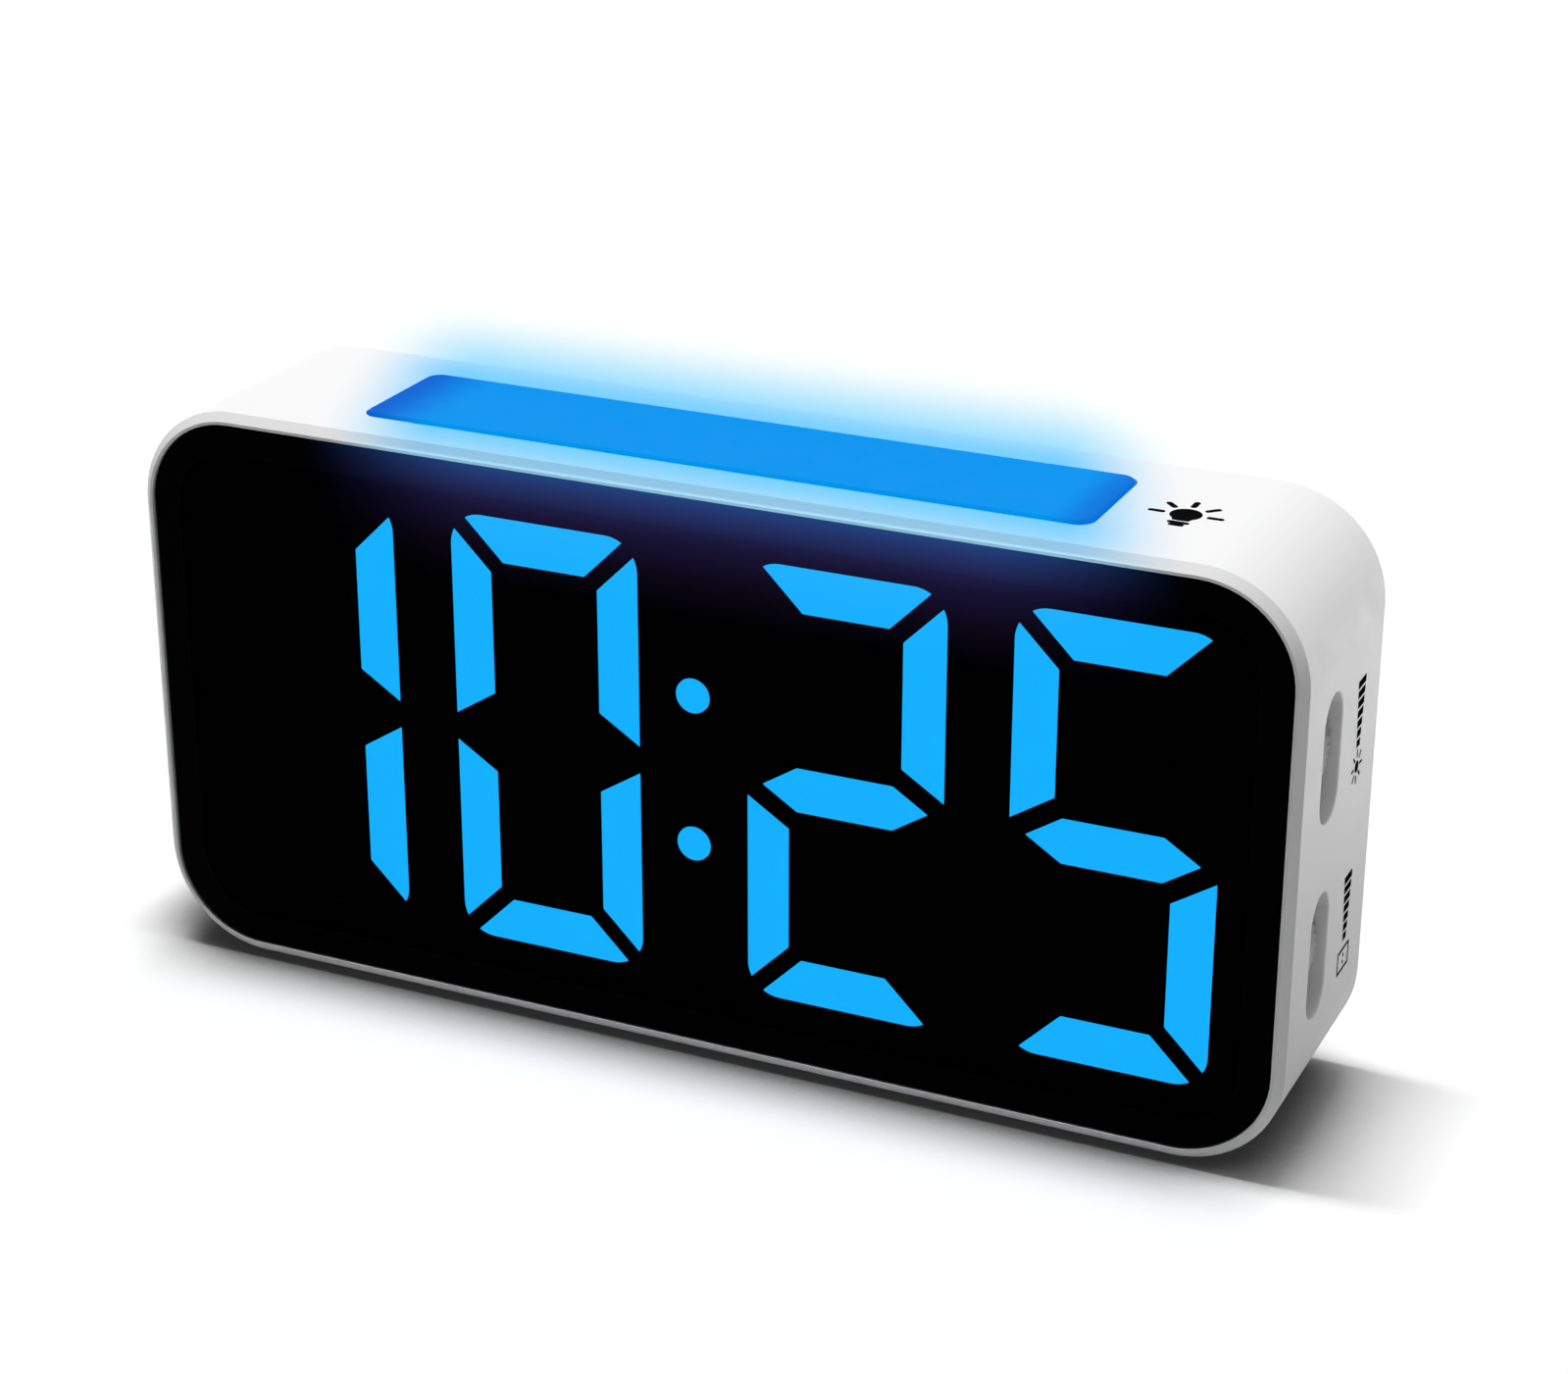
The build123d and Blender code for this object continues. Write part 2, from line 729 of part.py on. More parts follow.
web_recess = wheel_width * (1 - wheel_web_share) / 2
for wheel_name, wheel_place in zip(("light_dimmer", "screen_dimmer"), wheel_places):
    with BuildPart() as wheel:
        with BuildSketch(upright(wheel_rear)):
            with Locations(wheel_place):
                add(knurled_disc.sketch)
        extrude(amount=wheel_width)
        # Rings sunk into both faces leave the web between rim and hub
        for recess_rear in (wheel_front + web_recess, wheel_rear + overrun):
            with BuildSketch(upright(recess_rear)):
                with Locations(wheel_place):
                    Circle(wheel_radius - wheel_rim)
                    Circle(wheel_hub_radius, mode=Mode.SUBTRACT)
            extrude(amount=web_recess + overrun, mode=Mode.SUBTRACT)
        with BuildSketch(upright(wheel_rear + overrun)):
            with Locations(wheel_place):
                add(flatted(shaft_radius + shaft_gap))
        extrude(amount=wheel_width + 2 * overrun, mode=Mode.SUBTRACT)
    save(wheel, wheel_name + "_wheel")

    with BuildPart() as shaft:
        with BuildSketch(upright(board_front - stop_gap)):
            with Locations(wheel_place):
                add(flatted(shaft_radius))
        extrude(amount=board_front - stop_gap - wheel_front)
    save(shaft, wheel_name + "_shaft")

with BuildPart() as dimmer_pots:
    with BuildSketch(upright(board_front)):
        with Locations(*wheel_places):
            RectangleRounded(pot_width, pot_height, pot_round)
            Circle(shaft_radius + shaft_gap, mode=Mode.SUBTRACT)
    extrude(amount=board_front - pot_front)
save(dimmer_pots, "dimmer_pots")

# Control board and its screws, which bite into the cover's standoffs
with BuildPart() as control_board:
    with BuildSketch(upright(board_rear)):
        RectangleRounded(control_width, control_height, board_round)
        with Locations(*standoff_places):
            Circle(small_screw_radius + seat_gap, mode=Mode.SUBTRACT)
    extrude(amount=board_thick)
save(control_board, "control_board")

board_screws = screw_group(
    upright(board_front),
    standoff_places,
    small_head_radius,
    small_head_height,
    small_screw_radius,
    board_thick + board_screw_bite,
)
save(board_screws, "control_board_screws")

# Clock chip, with two rows of leads
chip_place = (chip_x_share * control_width, chip_z_share * control_height)
lead_pitch = chip_width / lead_count
with BuildPart() as clock_chip:
    with BuildSketch(upright(board_front - chip_stand)):
        with Locations(chip_place):
            Rectangle(chip_width, chip_height)
    extrude(amount=chip_thick)
    with BuildSketch(upright(board_front)):
        with Locations(chip_place):
            with GridLocations(lead_pitch, chip_height + lead_reach, lead_count, 2):
                Rectangle(lead_width, lead_reach)
    extrude(amount=chip_stand + lead_thick)
save(clock_chip, "clock_chip")

with BuildPart() as timing_crystal:
    with BuildSketch(upright(board_front)):
        with Locations((crystal_x_share * control_width, crystal_z_share * control_height)):
            SlotOverall(crystal_length, crystal_width)
    extrude(amount=crystal_thick)
save(timing_crystal, "timing_crystal")

# Electrolytic capacitors with a rolled groove near the free end
capacitor_places = [
    (share * control_width, capacitor_z_share * control_height) for share in capacitor_x_shares
]
groove_front = board_front - capacitor_groove_share * capacitor_height
with BuildPart() as supply_capacitors:
    with BuildSketch(upright(board_front)):
        with Locations(*capacitor_places):
            Circle(capacitor_radius)
    extrude(amount=capacitor_height)
    with BuildSketch(upright(groove_front)):
        with Locations(*capacitor_places):
            Circle(capacitor_radius)
            Circle(capacitor_radius - capacitor_groove, mode=Mode.SUBTRACT)
    extrude(amount=capacitor_groove, mode=Mode.SUBTRACT)
save(supply_capacitors, "supply_capacitors")

# Plug-in link between the two boards
link_place = (link_x_share * control_width, link_z_share * control_height)
link_span = board_front - display_board_rear
link_pitch = link_length / link_count
socket_front = board_front - link_socket_share * link_span
with BuildPart() as link_socket:
    with BuildSketch(upright(board_front)):
        with Locations(link_place):
            Rectangle(link_length, link_width)
    extrude(amount=board_front - socket_front)
    with BuildSketch(upright(socket_front + link_base_share * link_span + overrun)):
        with Locations(link_place):
            with GridLocations(link_pitch, 0, link_count, 1):
                Rectangle(link_pin + 2 * shaft_gap, link_pin + 2 * shaft_gap)
    extrude(amount=link_base_share * link_span + 2 * overrun, mode=Mode.SUBTRACT)
save(link_socket, "link_socket")

with BuildPart() as link_pins:
    with BuildSketch(upright(display_board_rear + link_base_share * link_span)):
        with Locations(link_place):
            Rectangle(link_length, link_width / 2)
    extrude(amount=link_base_share * link_span)
    with BuildSketch(upright(socket_front + link_base_share * link_span)):
        with Locations(link_place):
            with GridLocations(link_pitch, 0, link_count, 1):
                Rectangle(link_pin, link_pin)
    extrude(amount=socket_front - display_board_rear)
save(link_pins, "link_pins")

# Rear push buttons, their plungers and the switch bases behind them
rear_switches = switch_bases(
    rearward(board_rear), [(-x, z) for x, z in button_places], rear_switch_rear - board_rear
)
save(rear_switches, "rear_switch_bases")
for button_name, button_place in zip(button_names, button_places):
    with BuildPart() as button:
        with BuildSketch(upright(cover_rear - button_sink)):
            with Locations(button_place):
                RectangleRounded(button_width, button_height, button_round)
        extrude(amount=cover_rear - button_sink - flange_foot)
        fillet(button.faces().sort_by(Axis.Y)[-1].edges(), button_edge)
        with BuildSketch(upright(flange_seat)):
            with Locations(button_place):
                RectangleRounded(
                    button_width + 2 * button_flange,
                    button_height + 2 * button_flange,
                    button_round + button_flange,
                )
        extrude(amount=button_flange)
        with BuildSketch(upright(flange_foot)):
            with Locations(button_place):
                Circle(plunger_radius)
        extrude(amount=flange_foot - rear_plunger_rear)
    save(button, button_name + "_button")
    behind_place = (-button_place[0], button_place[1])
    save(plungers(rearward(rear_plunger_rear), [behind_place], button_travel), button_name + "_plunger")

# Alarm slide switch: base with a lever slot, lever, and the thumb piece in the strip
with BuildPart() as alarm_switch_base:
    with BuildSketch(upright(rear_switch_rear)):
        with Locations(slide_middle):
            Rectangle(slide_base_length, slide_base_width)
    extrude(amount=rear_switch_rear - board_rear)
    with BuildSketch(upright(rear_switch_rear + overrun)):
        with Locations(slide_middle):
            Rectangle(lever_width + slider_travel + 2 * move_gap, lever_width + 2 * move_gap)
    extrude(amount=rear_switch_rear + overrun - board_rear - switch_floor, mode=Mode.SUBTRACT)
save(alarm_switch_base, "alarm_switch_base")

with BuildPart() as alarm_switch_lever:
    with BuildSketch(upright(flange_foot)):
        with Locations((slider_x, control_row_z)):
            Rectangle(lever_width, lever_width)
    extrude(amount=flange_foot - board_rear - switch_floor - stop_gap)
save(alarm_switch_lever, "alarm_switch_lever")

with BuildPart() as alarm_slider:
    with BuildSketch(upright(cover_rear - button_sink)):
        with Locations((slider_x, control_row_z)):
            Rectangle(slider_width, slider_height)
    extrude(amount=cover_rear - button_sink - tray_floor_rear - stop_gap)
    with BuildSketch(upright(tray_floor_rear + stop_gap)):
        with Locations((slider_x, control_row_z)):
            Rectangle(slider_neck, slider_neck)
    extrude(amount=tray_floor_rear + stop_gap - flange_seat)
    with BuildSketch(upright(flange_seat)):
        with Locations((slider_x, control_row_z)):
            Rectangle(slider_width, slider_height)
    extrude(amount=button_flange)
    # Grip grooves across the thumb piece
    with BuildSketch(upright(cover_rear)):
        with Locations((slider_x, control_row_z)):
            with GridLocations(slider_width / 4, 0, 3, 1):
                Rectangle(slider_grip, slider_height)
    extrude(amount=button_sink + slider_grip, mode=Mode.SUBTRACT)
save(alarm_slider, "alarm_slider")

# Power inlet: a square body with a round mouth, and its centre pin
with BuildPart() as power_jack:
    with BuildSketch(upright(cover_front)):
        with Locations(jack_place):
            Rectangle(jack_size, jack_size)
    extrude(amount=cover_front - board_rear)
    with BuildSketch(upright(cover_front + overrun)):
        with Locations(jack_place):
            Circle(jack_bore_radius)
    extrude(amount=cover_front + overrun - board_rear - jack_floor, mode=Mode.SUBTRACT)
save(power_jack, "power_jack")

with BuildPart() as power_jack_pin:
    with BuildSketch(upright(cover_front - jack_pin_sink)):
        with Locations(jack_place):
            Circle(jack_pin_radius)
    extrude(amount=cover_front - jack_pin_sink - board_rear - jack_floor)
    fillet(power_jack_pin.faces().sort_by(Axis.Y)[-1].edges(), jack_pin_radius / 2)
save(power_jack_pin, "power_jack_pin")

# Buzzer, behind its ring of sound holes
buzzer_rear = board_rear + buzzer_height_share * rear_space
with BuildPart() as buzzer:
    with BuildSketch(upright(buzzer_rear)):
        with Locations(buzzer_place):
            Circle(buzzer_radius)
    extrude(amount=buzzer_rear - board_rear)
    with BuildSketch(upright(buzzer_rear + overrun)):
        with Locations(buzzer_place):
            Circle(buzzer_mouth_radius)
    extrude(amount=2 * overrun, mode=Mode.SUBTRACT)
save(buzzer, "buzzer")

# Backup cell in a notched holder, with a contact strip below it and a clip over it
holder_rear = board_rear + holder_floor + contact_thick + cell_thick
holder_radius = cell_radius + seat_gap + holder_wall
cell_front = board_rear + holder_floor + contact_thick
with BuildPart() as cell_holder:
    with BuildSketch(upright(holder_rear)):
        with Locations(cell_place):
            Circle(holder_radius)
    extrude(amount=holder_rear - board_rear)
    with BuildSketch(upright(holder_rear + overrun)):
        with Locations(cell_place):
            Circle(cell_radius + seat_gap)
            Rectangle(2 * holder_radius + overrun, cell_radius)
    extrude(amount=holder_rear + overrun - board_rear - holder_floor, mode=Mode.SUBTRACT)
save(cell_holder, "cell_holder")

with BuildPart() as backup_cell:
    with BuildSketch(upright(holder_rear)):
        with Locations(cell_place):
            Circle(cell_radius)
    extrude(amount=cell_thick)
    chamfer(backup_cell.edges().filter_by(GeomType.CIRCLE), cell_edge)
save(backup_cell, "backup_cell")

with BuildPart() as cell_contacts:
    with BuildSketch(upright(cell_front)):
        with Locations(cell_place):
            Rectangle(cell_radius, contact_width)
    extrude(amount=contact_thick)
    with BuildSketch(upright(holder_rear + contact_thick)):
        with Locations((cell_place[0] + holder_radius / 2, cell_place[1])):
            Rectangle(holder_radius + 2 * contact_thick, contact_width)
    extrude(amount=contact_thick)
    with BuildSketch(upright(holder_rear)):
        with Locations((cell_place[0] + holder_radius + contact_thick / 2, cell_place[1])):
            Rectangle(contact_thick, contact_width)
    extrude(amount=holder_rear - board_rear)
save(cell_contacts, "cell_contacts")

# Rear cover
ear_radius = door_radius + door_ear_reach
ear_seat = cover_front - stop_gap


def ear_bar(gap):
    """Two ears in line across the door, this much larger all round."""
    with BuildSketch() as bar:
        Circle(ear_radius + gap)
        Rectangle(2 * (ear_radius + gap), door_ear_width + 2 * gap, mode=Mode.INTERSECT)
    return bar.sketch


with BuildPart() as rear_cover:
    with BuildSketch(upright(cover_rear)):
        RectangleRounded(inner_width - 2 * seat_gap, inner_height - 2 * seat_gap, inner_radius - seat_gap)
    extrude(amount=cover_thick)
    # Standoffs for the control board
    with BuildSketch(upright(cover_front)):
        with Locations(*standoff_places):
            Circle(small_boss_radius)
    extrude(amount=cover_front - board_rear)
    with BuildSketch(upright(board_rear + board_screw_bite + stop_gap)):
        with Locations(*standoff_places):
            Circle(small_screw_radius + shaft_gap)
    extrude(amount=board_screw_bite + stop_gap, mode=Mode.SUBTRACT)
    # Sunken control strip with its button holes and slider slot
    with BuildSketch(upright(cover_front)):
        with Locations((0, control_row_z)):
            RectangleRounded(tray_width + 2 * tray_wall, tray_height + 2 * tray_wall, tray_round + tray_wall)
    extrude(amount=cover_front - tray_floor_front)
    with BuildSketch(upright(cover_rear + overrun)):
        with Locations((0, control_row_z)):
            RectangleRounded(tray_width, tray_height, tray_round)
    extrude(amount=cover_rear + overrun - tray_floor_rear, mode=Mode.SUBTRACT)
    with BuildSketch(upright(tray_floor_rear + overrun)):
        with Locations(*button_places):
            RectangleRounded(
                button_width + 2 * move_gap, button_height + 2 * move_gap, button_round + move_gap
            )
        with Locations(slide_middle):
            Rectangle(slider_neck + slider_travel + 2 * move_gap, slider_neck + 2 * move_gap)
    extrude(amount=tray_floor + 2 * overrun, mode=Mode.SUBTRACT)
    # Openings for the power inlet, the buzzer and the twist door
    with BuildSketch(upright(cover_rear + overrun)):
        with Locations(jack_place):
            Circle(jack_hole_radius)
        with Locations(buzzer_place):
            Circle(sound_hole_radius)
            with PolarLocations(sound_ring_radius, sound_ring_count):
                Circle(sound_hole_radius)
        with Locations(cell_place):
            Circle(door_radius + move_gap)
        with Locations(Location((cell_place[0], cell_place[1], 0), (0, 0, -door_turn))):
            add(ear_bar(move_gap))
    extrude(amount=cover_thick + 2 * overrun, mode=Mode.SUBTRACT)
    with Locations(rearward(cover_rear)):
        with Locations(*boss_places):
            CounterBoreHole(
                cover_screw_radius + seat_gap, cover_head_radius + seat_gap, cover_head_height, cover_thick
            )
save(rear_cover, "rear_cover")

cover_screws = screw_group(
    rearward(cover_rear - cover_head_height),
    boss_places,
    cover_head_radius,
    cover_head_height,
    cover_screw_radius,
    cover_thick - cover_head_height + cover_screw_bite,
)
save(cover_screws, "cover_screws")

# Twist door: a disc flush with the cover, ears below it and a coin slot
with BuildPart() as cell_door:
    with BuildSketch(upright(cover_rear)):
        with Locations(cell_place):
            Circle(door_radius)
    extrude(amount=cover_thick + stop_gap + door_ear_thick)
    with BuildSketch(upright(ear_seat)):
        with Locations(cell_place):
            add(ear_bar(0))
    extrude(amount=door_ear_thick)
    with BuildSketch(upright(cover_rear + overrun)):
        with Locations(cell_place):
            SlotOverall(coin_slot_length, coin_slot_width)
    extrude(amount=coin_slot_depth + overrun, mode=Mode.SUBTRACT)
save(cell_door, "cell_door")

# Feet
with BuildPart() as rubber_feet:
    with BuildSketch(Plane.XY):
        with Locations(*foot_places):
            Circle(foot_radius)
    extrude(amount=foot_lift + foot_pocket)
    fillet(rubber_feet.faces().group_by(Axis.Z)[0].edges(), foot_edge)
save(rubber_feet, "rubber_feet")
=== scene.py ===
import json
import math

import bmesh
import bpy
from mathutils import Matrix, Vector


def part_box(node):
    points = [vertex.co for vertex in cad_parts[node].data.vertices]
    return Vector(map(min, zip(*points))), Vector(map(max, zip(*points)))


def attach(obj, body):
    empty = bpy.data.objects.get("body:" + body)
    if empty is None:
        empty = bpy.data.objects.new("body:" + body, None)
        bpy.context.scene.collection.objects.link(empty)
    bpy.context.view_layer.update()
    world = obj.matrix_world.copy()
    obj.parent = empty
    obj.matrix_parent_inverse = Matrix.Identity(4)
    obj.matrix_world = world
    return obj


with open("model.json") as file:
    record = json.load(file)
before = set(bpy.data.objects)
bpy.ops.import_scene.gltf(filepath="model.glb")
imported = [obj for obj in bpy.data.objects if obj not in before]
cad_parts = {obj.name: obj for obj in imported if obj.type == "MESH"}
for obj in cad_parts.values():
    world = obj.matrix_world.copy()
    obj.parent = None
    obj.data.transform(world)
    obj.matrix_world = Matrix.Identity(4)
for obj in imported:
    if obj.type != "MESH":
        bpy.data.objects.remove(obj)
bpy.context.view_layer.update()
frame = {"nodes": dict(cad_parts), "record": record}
MM = 0.001

# Places taken from the frame
CASE_LOW, CASE_HIGH = [Vector(corner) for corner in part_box("main_case")]
LENS_LOW, LENS_HIGH = [Vector(corner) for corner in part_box("front_lens")]
BAR_HIGH = Vector(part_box("light_bar")[1])
REAR_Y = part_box("rear_cover")[1][1]
# Half the light bar's visible face: its end lugs lie hidden under the case
BAR_LUG = 0.95 * MM
BAR_HALF_LENGTH = BAR_HIGH.x - BAR_LUG
BAR_HALF_DEPTH = BAR_HIGH.y

# Camera at the photograph's viewing angle
CAMERA_PLACE = Vector((0.175135, -0.368927, 0.217887))
CAMERA_RIGHT = Vector((0.90882, 0.41718, 0.00150))
CAMERA_FORWARD = Vector((-0.38396, 0.83784, -0.38808))
CAMERA_LENS = 78.12
CAMERA_SENSOR = 36.0

# Colours, linear
WHITE = (0.86, 0.86, 0.86)
# The light bar's painted glow: the blue tint of the top and the light of the front lip
GLOW_TINT = (0.13, 0.54, 0.88)
LIP_GLOW = (0.20, 0.40, 0.50)
DARK_INK = (0.004, 0.004, 0.0045)
GREY_INK = (0.16, 0.16, 0.165)
DIGIT_BLUE = (0.007, 0.432, 1.0)

# Most values of a noise lie between these
NOISE_LOW = 0.3
NOISE_HIGH = 0.7


class Finish:
    """A node material while it is put together."""

    def __init__(self, name, constants):
        self.material = bpy.data.materials.new(name)
        self.material.use_nodes = True
        self.tree = self.material.node_tree
        self.shader = self.tree.nodes["Principled BSDF"]
        for socket, value in constants.items():
            self.shader.inputs[socket].default_value = value
        self.place = self.add("ShaderNodeTexCoord").outputs["Object"]

    def add(self, kind, inputs=None, **settings):
        """A new node, with fixed inputs by number or name and its settings."""
        node = self.tree.nodes.new(kind)
        for setting, value in settings.items():
            setattr(node, setting, value)
        for socket, value in (inputs or {}).items():
            node.inputs[socket].default_value = value
        return node

    def link(self, output, node, socket):
        """Joins an output to a node's input."""
        self.tree.links.new(output, node.inputs[socket])

    def noise(self, size, detail=2.0, stretch=(1, 1, 1)):
        """Noise whose features are about this large, in metres, drawn out along the axes of stretch."""
        spread = self.add("ShaderNodeMapping", {"Scale": [1 / share for share in stretch]})
        self.link(self.place, spread, "Vector")
        texture = self.add("ShaderNodeTexNoise", {"Scale": 1 / size, "Detail": detail})
        self.link(spread.outputs["Vector"], texture, "Vector")
        return texture.outputs["Fac"]

    def math(self, operation, first, second=0.0):
        """One sum; an operand is a number or another node's output."""
        node = self.add("ShaderNodeMath", operation=operation)
        for socket, operand in enumerate((first, second)):
            if isinstance(operand, (int, float)):
                node.inputs[socket].default_value = operand
            else:
                self.link(operand, node, socket)
        return node.outputs["Value"]

    def spread(self, value, from_low, from_high, to_low, to_high, smooth=False):
        """The value moved from one range to another, with soft ends if asked."""
        node = self.add(
            "ShaderNodeMapRange",
            {"From Min": from_low, "From Max": from_high, "To Min": to_low, "To Max": to_high},
            interpolation_type="SMOOTHSTEP" if smooth else "LINEAR",
        )
        self.link(value, node, "Value")
        return node.outputs["Result"]

    def mix(self, share, first, second):
        """Two colours mixed by a share; each is a colour or another node's output."""
        node = self.add("ShaderNodeMix", data_type="RGBA")
        self.link(share, node, "Factor")
        for socket, colour in (("A", first), ("B", second)):
            target = [entry for entry in node.inputs if entry.name == socket and entry.type == "RGBA"][0]
            if isinstance(colour, tuple):
                target.default_value = (*colour, 1.0)
            else:
                self.tree.links.new(colour, target)
        return [entry for entry in node.outputs if entry.type == "RGBA"][0]

    def toned(self, colour, tone, size, stretch=(1, 1, 1)):
        """The colour, a little lighter and darker in soft patches."""
        dark = tuple(channel * (1 - tone) for channel in colour)
        light = tuple(min(1.0, channel * (1 + tone)) for channel in colour)
        return self.mix(self.noise(size, stretch=stretch), dark, light)

    def base(self, output):
        """Colours the surface."""
        self.link(output, self.shader, "Base Color")

    def rough(self, low, high, size, stretch=(1, 1, 1)):
        """Roughness that wanders from low to high in patches of this size."""
        roughness = self.spread(self.noise(size, 3.0, stretch), NOISE_LOW, NOISE_HIGH, low, high)
        self.link(roughness, self.shader, "Roughness")

    def grain(self, size, depth, strength=0.5, stretch=(1, 1, 1)):
        """Fine relief of this size and depth, in metres."""
        bump = self.add("ShaderNodeBump", {"Strength": strength, "Distance": depth})
        self.link(self.noise(size, 4.0, stretch), bump, "Height")
        self.link(bump.outputs["Normal"], self.shader, "Normal")

    def axes(self):
        """The three coordinates of the shaded point, in metres."""
        split = self.add("ShaderNodeSeparateXYZ")
        self.link(self.place, split, "Vector")
        return [split.outputs[axis] for axis in "XYZ"]

    def beyond(self, coordinate, middle, half):
        """How far a coordinate lies outside a stretch of this half length about its middle."""
        offset = self.math("ABSOLUTE", self.math("SUBTRACT", coordinate, middle))
        return self.math("MAXIMUM", self.math("SUBTRACT", offset, half))

    def apart(self, along, across):
        """The distance made up of these two, which are square to each other."""
        squares = self.math("ADD", self.math("POWER", along, 2.0), self.math("POWER", across, 2.0))
        return self.math("SQRT", squares)

    def fading(self, along, across, reach):
        """One where both distances are nothing, falling softly to nothing at this reach."""
        return self.spread(self.apart(along, across), 0.0, reach, 1.0, 0.0, smooth=True)


def moulded(name, colour, low, high, grain=0.35 * MM, depth=0.012 * MM, specular=0.4):
    """Injection-moulded plastic with a fine eroded texture."""
    finish = Finish(name, {"Specular IOR Level": specular})
    finish.base(finish.toned(colour, tone=0.03, size=14 * MM))
    finish.rough(low, high, size=3 * MM)
    finish.grain(grain, depth)
    return finish.material


def metal(name, colour, low, high, stretch=(1, 1, 1)):
    """Plated or drawn metal with faint scratches."""
    finish = Finish(name, {"Metallic": 1.0})
    finish.base(finish.toned(colour, tone=0.06, size=2 * MM, stretch=stretch))
    finish.rough(low, high, size=0.6 * MM, stretch=stretch)
    finish.grain(size=0.15 * MM, depth=0.006 * MM, strength=0.4, stretch=stretch)
    return finish.material


# The painted glow lies askew on the clock: its middle is further right the further forward it falls
GLOW_SKEW = 0.38
TOP_GLOW_INSET = 7.5 * MM
TOP_GLOW_REACH = 22 * MM
TOP_GLOW_END_RATE = 1.25
TOP_GLOW_LOW = CASE_HIGH.z - 6 * MM
TOP_GLOW_HIGH = CASE_HIGH.z - 1 * MM
LIP_DEPTH = 0.3 * MM
LIP_GLOW_ELSEWHERE = 0.03


def shell_white():
    """Satin white plastic; the light bar's glow is painted on the top round it, as a blue tint in its
    colour and as a faint light of its own, strongest on the front lip.
    """
    finish = Finish("white_shell", {"Specular IOR Level": 0.35, "Emission Color": (*LIP_GLOW, 1.0)})
    x, y, z = finish.axes()
    along = finish.math("ADD", x, finish.math("MULTIPLY", y, GLOW_SKEW))
    past_end = finish.beyond(along, 0.0, BAR_HALF_LENGTH - TOP_GLOW_INSET)
    past_end = finish.math("MULTIPLY", past_end, TOP_GLOW_END_RATE)
    glow = finish.fading(past_end, finish.beyond(y, 0.0, BAR_HALF_DEPTH), TOP_GLOW_REACH)
    near_top = finish.spread(z, TOP_GLOW_LOW, TOP_GLOW_HIGH, 0.0, 1.0, smooth=True)
    glow = finish.math("MULTIPLY", glow, near_top)
    # Painted glow: the top's colour turns blue near the light bar
    finish.base(finish.mix(glow, finish.toned(WHITE, tone=0.012, size=20 * MM), GLOW_TINT))
    # Painted glow: light of its own, full on the front lip and faint elsewhere in the glowing patch
    on_lip = finish.spread(y, CASE_LOW.y + LIP_DEPTH, CASE_LOW.y, LIP_GLOW_ELSEWHERE, 1.0)
    finish.link(finish.math("MULTIPLY", glow, on_lip), finish.shader, "Emission Strength")
    finish.rough(low=0.42, high=0.52, size=4 * MM)
    finish.grain(size=0.3 * MM, depth=0.006 * MM, strength=0.35)
    return finish.material


LENS_BLACK = (0.0004, 0.0004, 0.0005)
# Share of the light that passes the lens inside its black border
LENS_CLEAR = 0.75
LENS_BORDER = 4.3 * MM
LENS_BORDER_ROUND = 7.9 * MM
LENS_BORDER_EDGE = 0.2 * MM
LENS_GLOW_MIDDLE = 5.25 * MM
LENS_GLOW_FULL = BAR_HALF_LENGTH - 17.6 * MM
LENS_GLOW_END = BAR_HALF_LENGTH + 10.4 * MM
LENS_GLOW_DEPTH = 16 * MM
# Shares of that depth, from the upper edge down, and the painted glow's colour there
LENS_GLOW = (
    (0.0, (0.0152, 0.055, 0.215)),
    (0.10, (0.0176, 0.033, 0.144)),
    (0.25, (0.013, 0.0144, 0.0666)),
    (0.39, (0.0091, 0.0065, 0.033)),
    (0.67, (0.0037, 0.0024, 0.008)),
    (1.0, (0.0, 0.0, 0.0)),
)


def lens_smoked():
    """Smoked sheet with a black border; the light bar's glow is painted along its upper edge as light of
    its own.
    """
    finish = Finish("smoked_lens", {"Specular IOR Level": 0.005})
    finish.base(finish.toned(LENS_BLACK, tone=0.3, size=30 * MM))
    finish.rough(low=0.08, high=0.14, size=8 * MM)
    x, y, z = finish.axes()
    middle = (LENS_LOW + LENS_HIGH) / 2
    straight = (LENS_HIGH - LENS_LOW) / 2 - Vector((1, 1, 1)) * (LENS_BORDER + LENS_BORDER_ROUND)
    outward = finish.apart(finish.beyond(x, middle.x, straight.x), finish.beyond(z, middle.z, straight.z))
    border = LENS_BORDER_ROUND + LENS_BORDER_EDGE
    clear = finish.spread(outward, LENS_BORDER_ROUND, border, LENS_CLEAR, 0.0)
    finish.link(finish.math("SUBTRACT", 1.0, clear), finish.shader, "Alpha")
    seen_share = finish.math("SUBTRACT", 1.0, finish.math("POWER", clear, 2.0))
    finish.link(finish.math("DIVIDE", 1.0, seen_share), finish.shader, "Emission Strength")

    # Painted glow: the lens gives off blue light below its upper edge, fading out past the light bar's
    # ends
    from_middle = finish.beyond(x, LENS_GLOW_MIDDLE, 0.0)
    along = finish.spread(from_middle, LENS_GLOW_FULL, LENS_GLOW_END, 1.0, 0.0, smooth=True)
    ramp = finish.add("ShaderNodeValToRGB")
    elements = ramp.color_ramp.elements
    while len(elements) < len(LENS_GLOW):
        elements.new(0.5)
    for element, (place, colour) in zip(elements, LENS_GLOW):
        element.position = place
        element.color = (*colour, 1.0)
    finish.link(finish.spread(z, LENS_HIGH.z, LENS_HIGH.z - LENS_GLOW_DEPTH, 0.0, 1.0), ramp, "Fac")
    glow = finish.mix(along, (0.0, 0.0, 0.0), ramp.outputs["Color"])
    finish.link(glow, finish.shader, "Emission Color")
    return finish.material


UNLIT_SHARE = 0.05


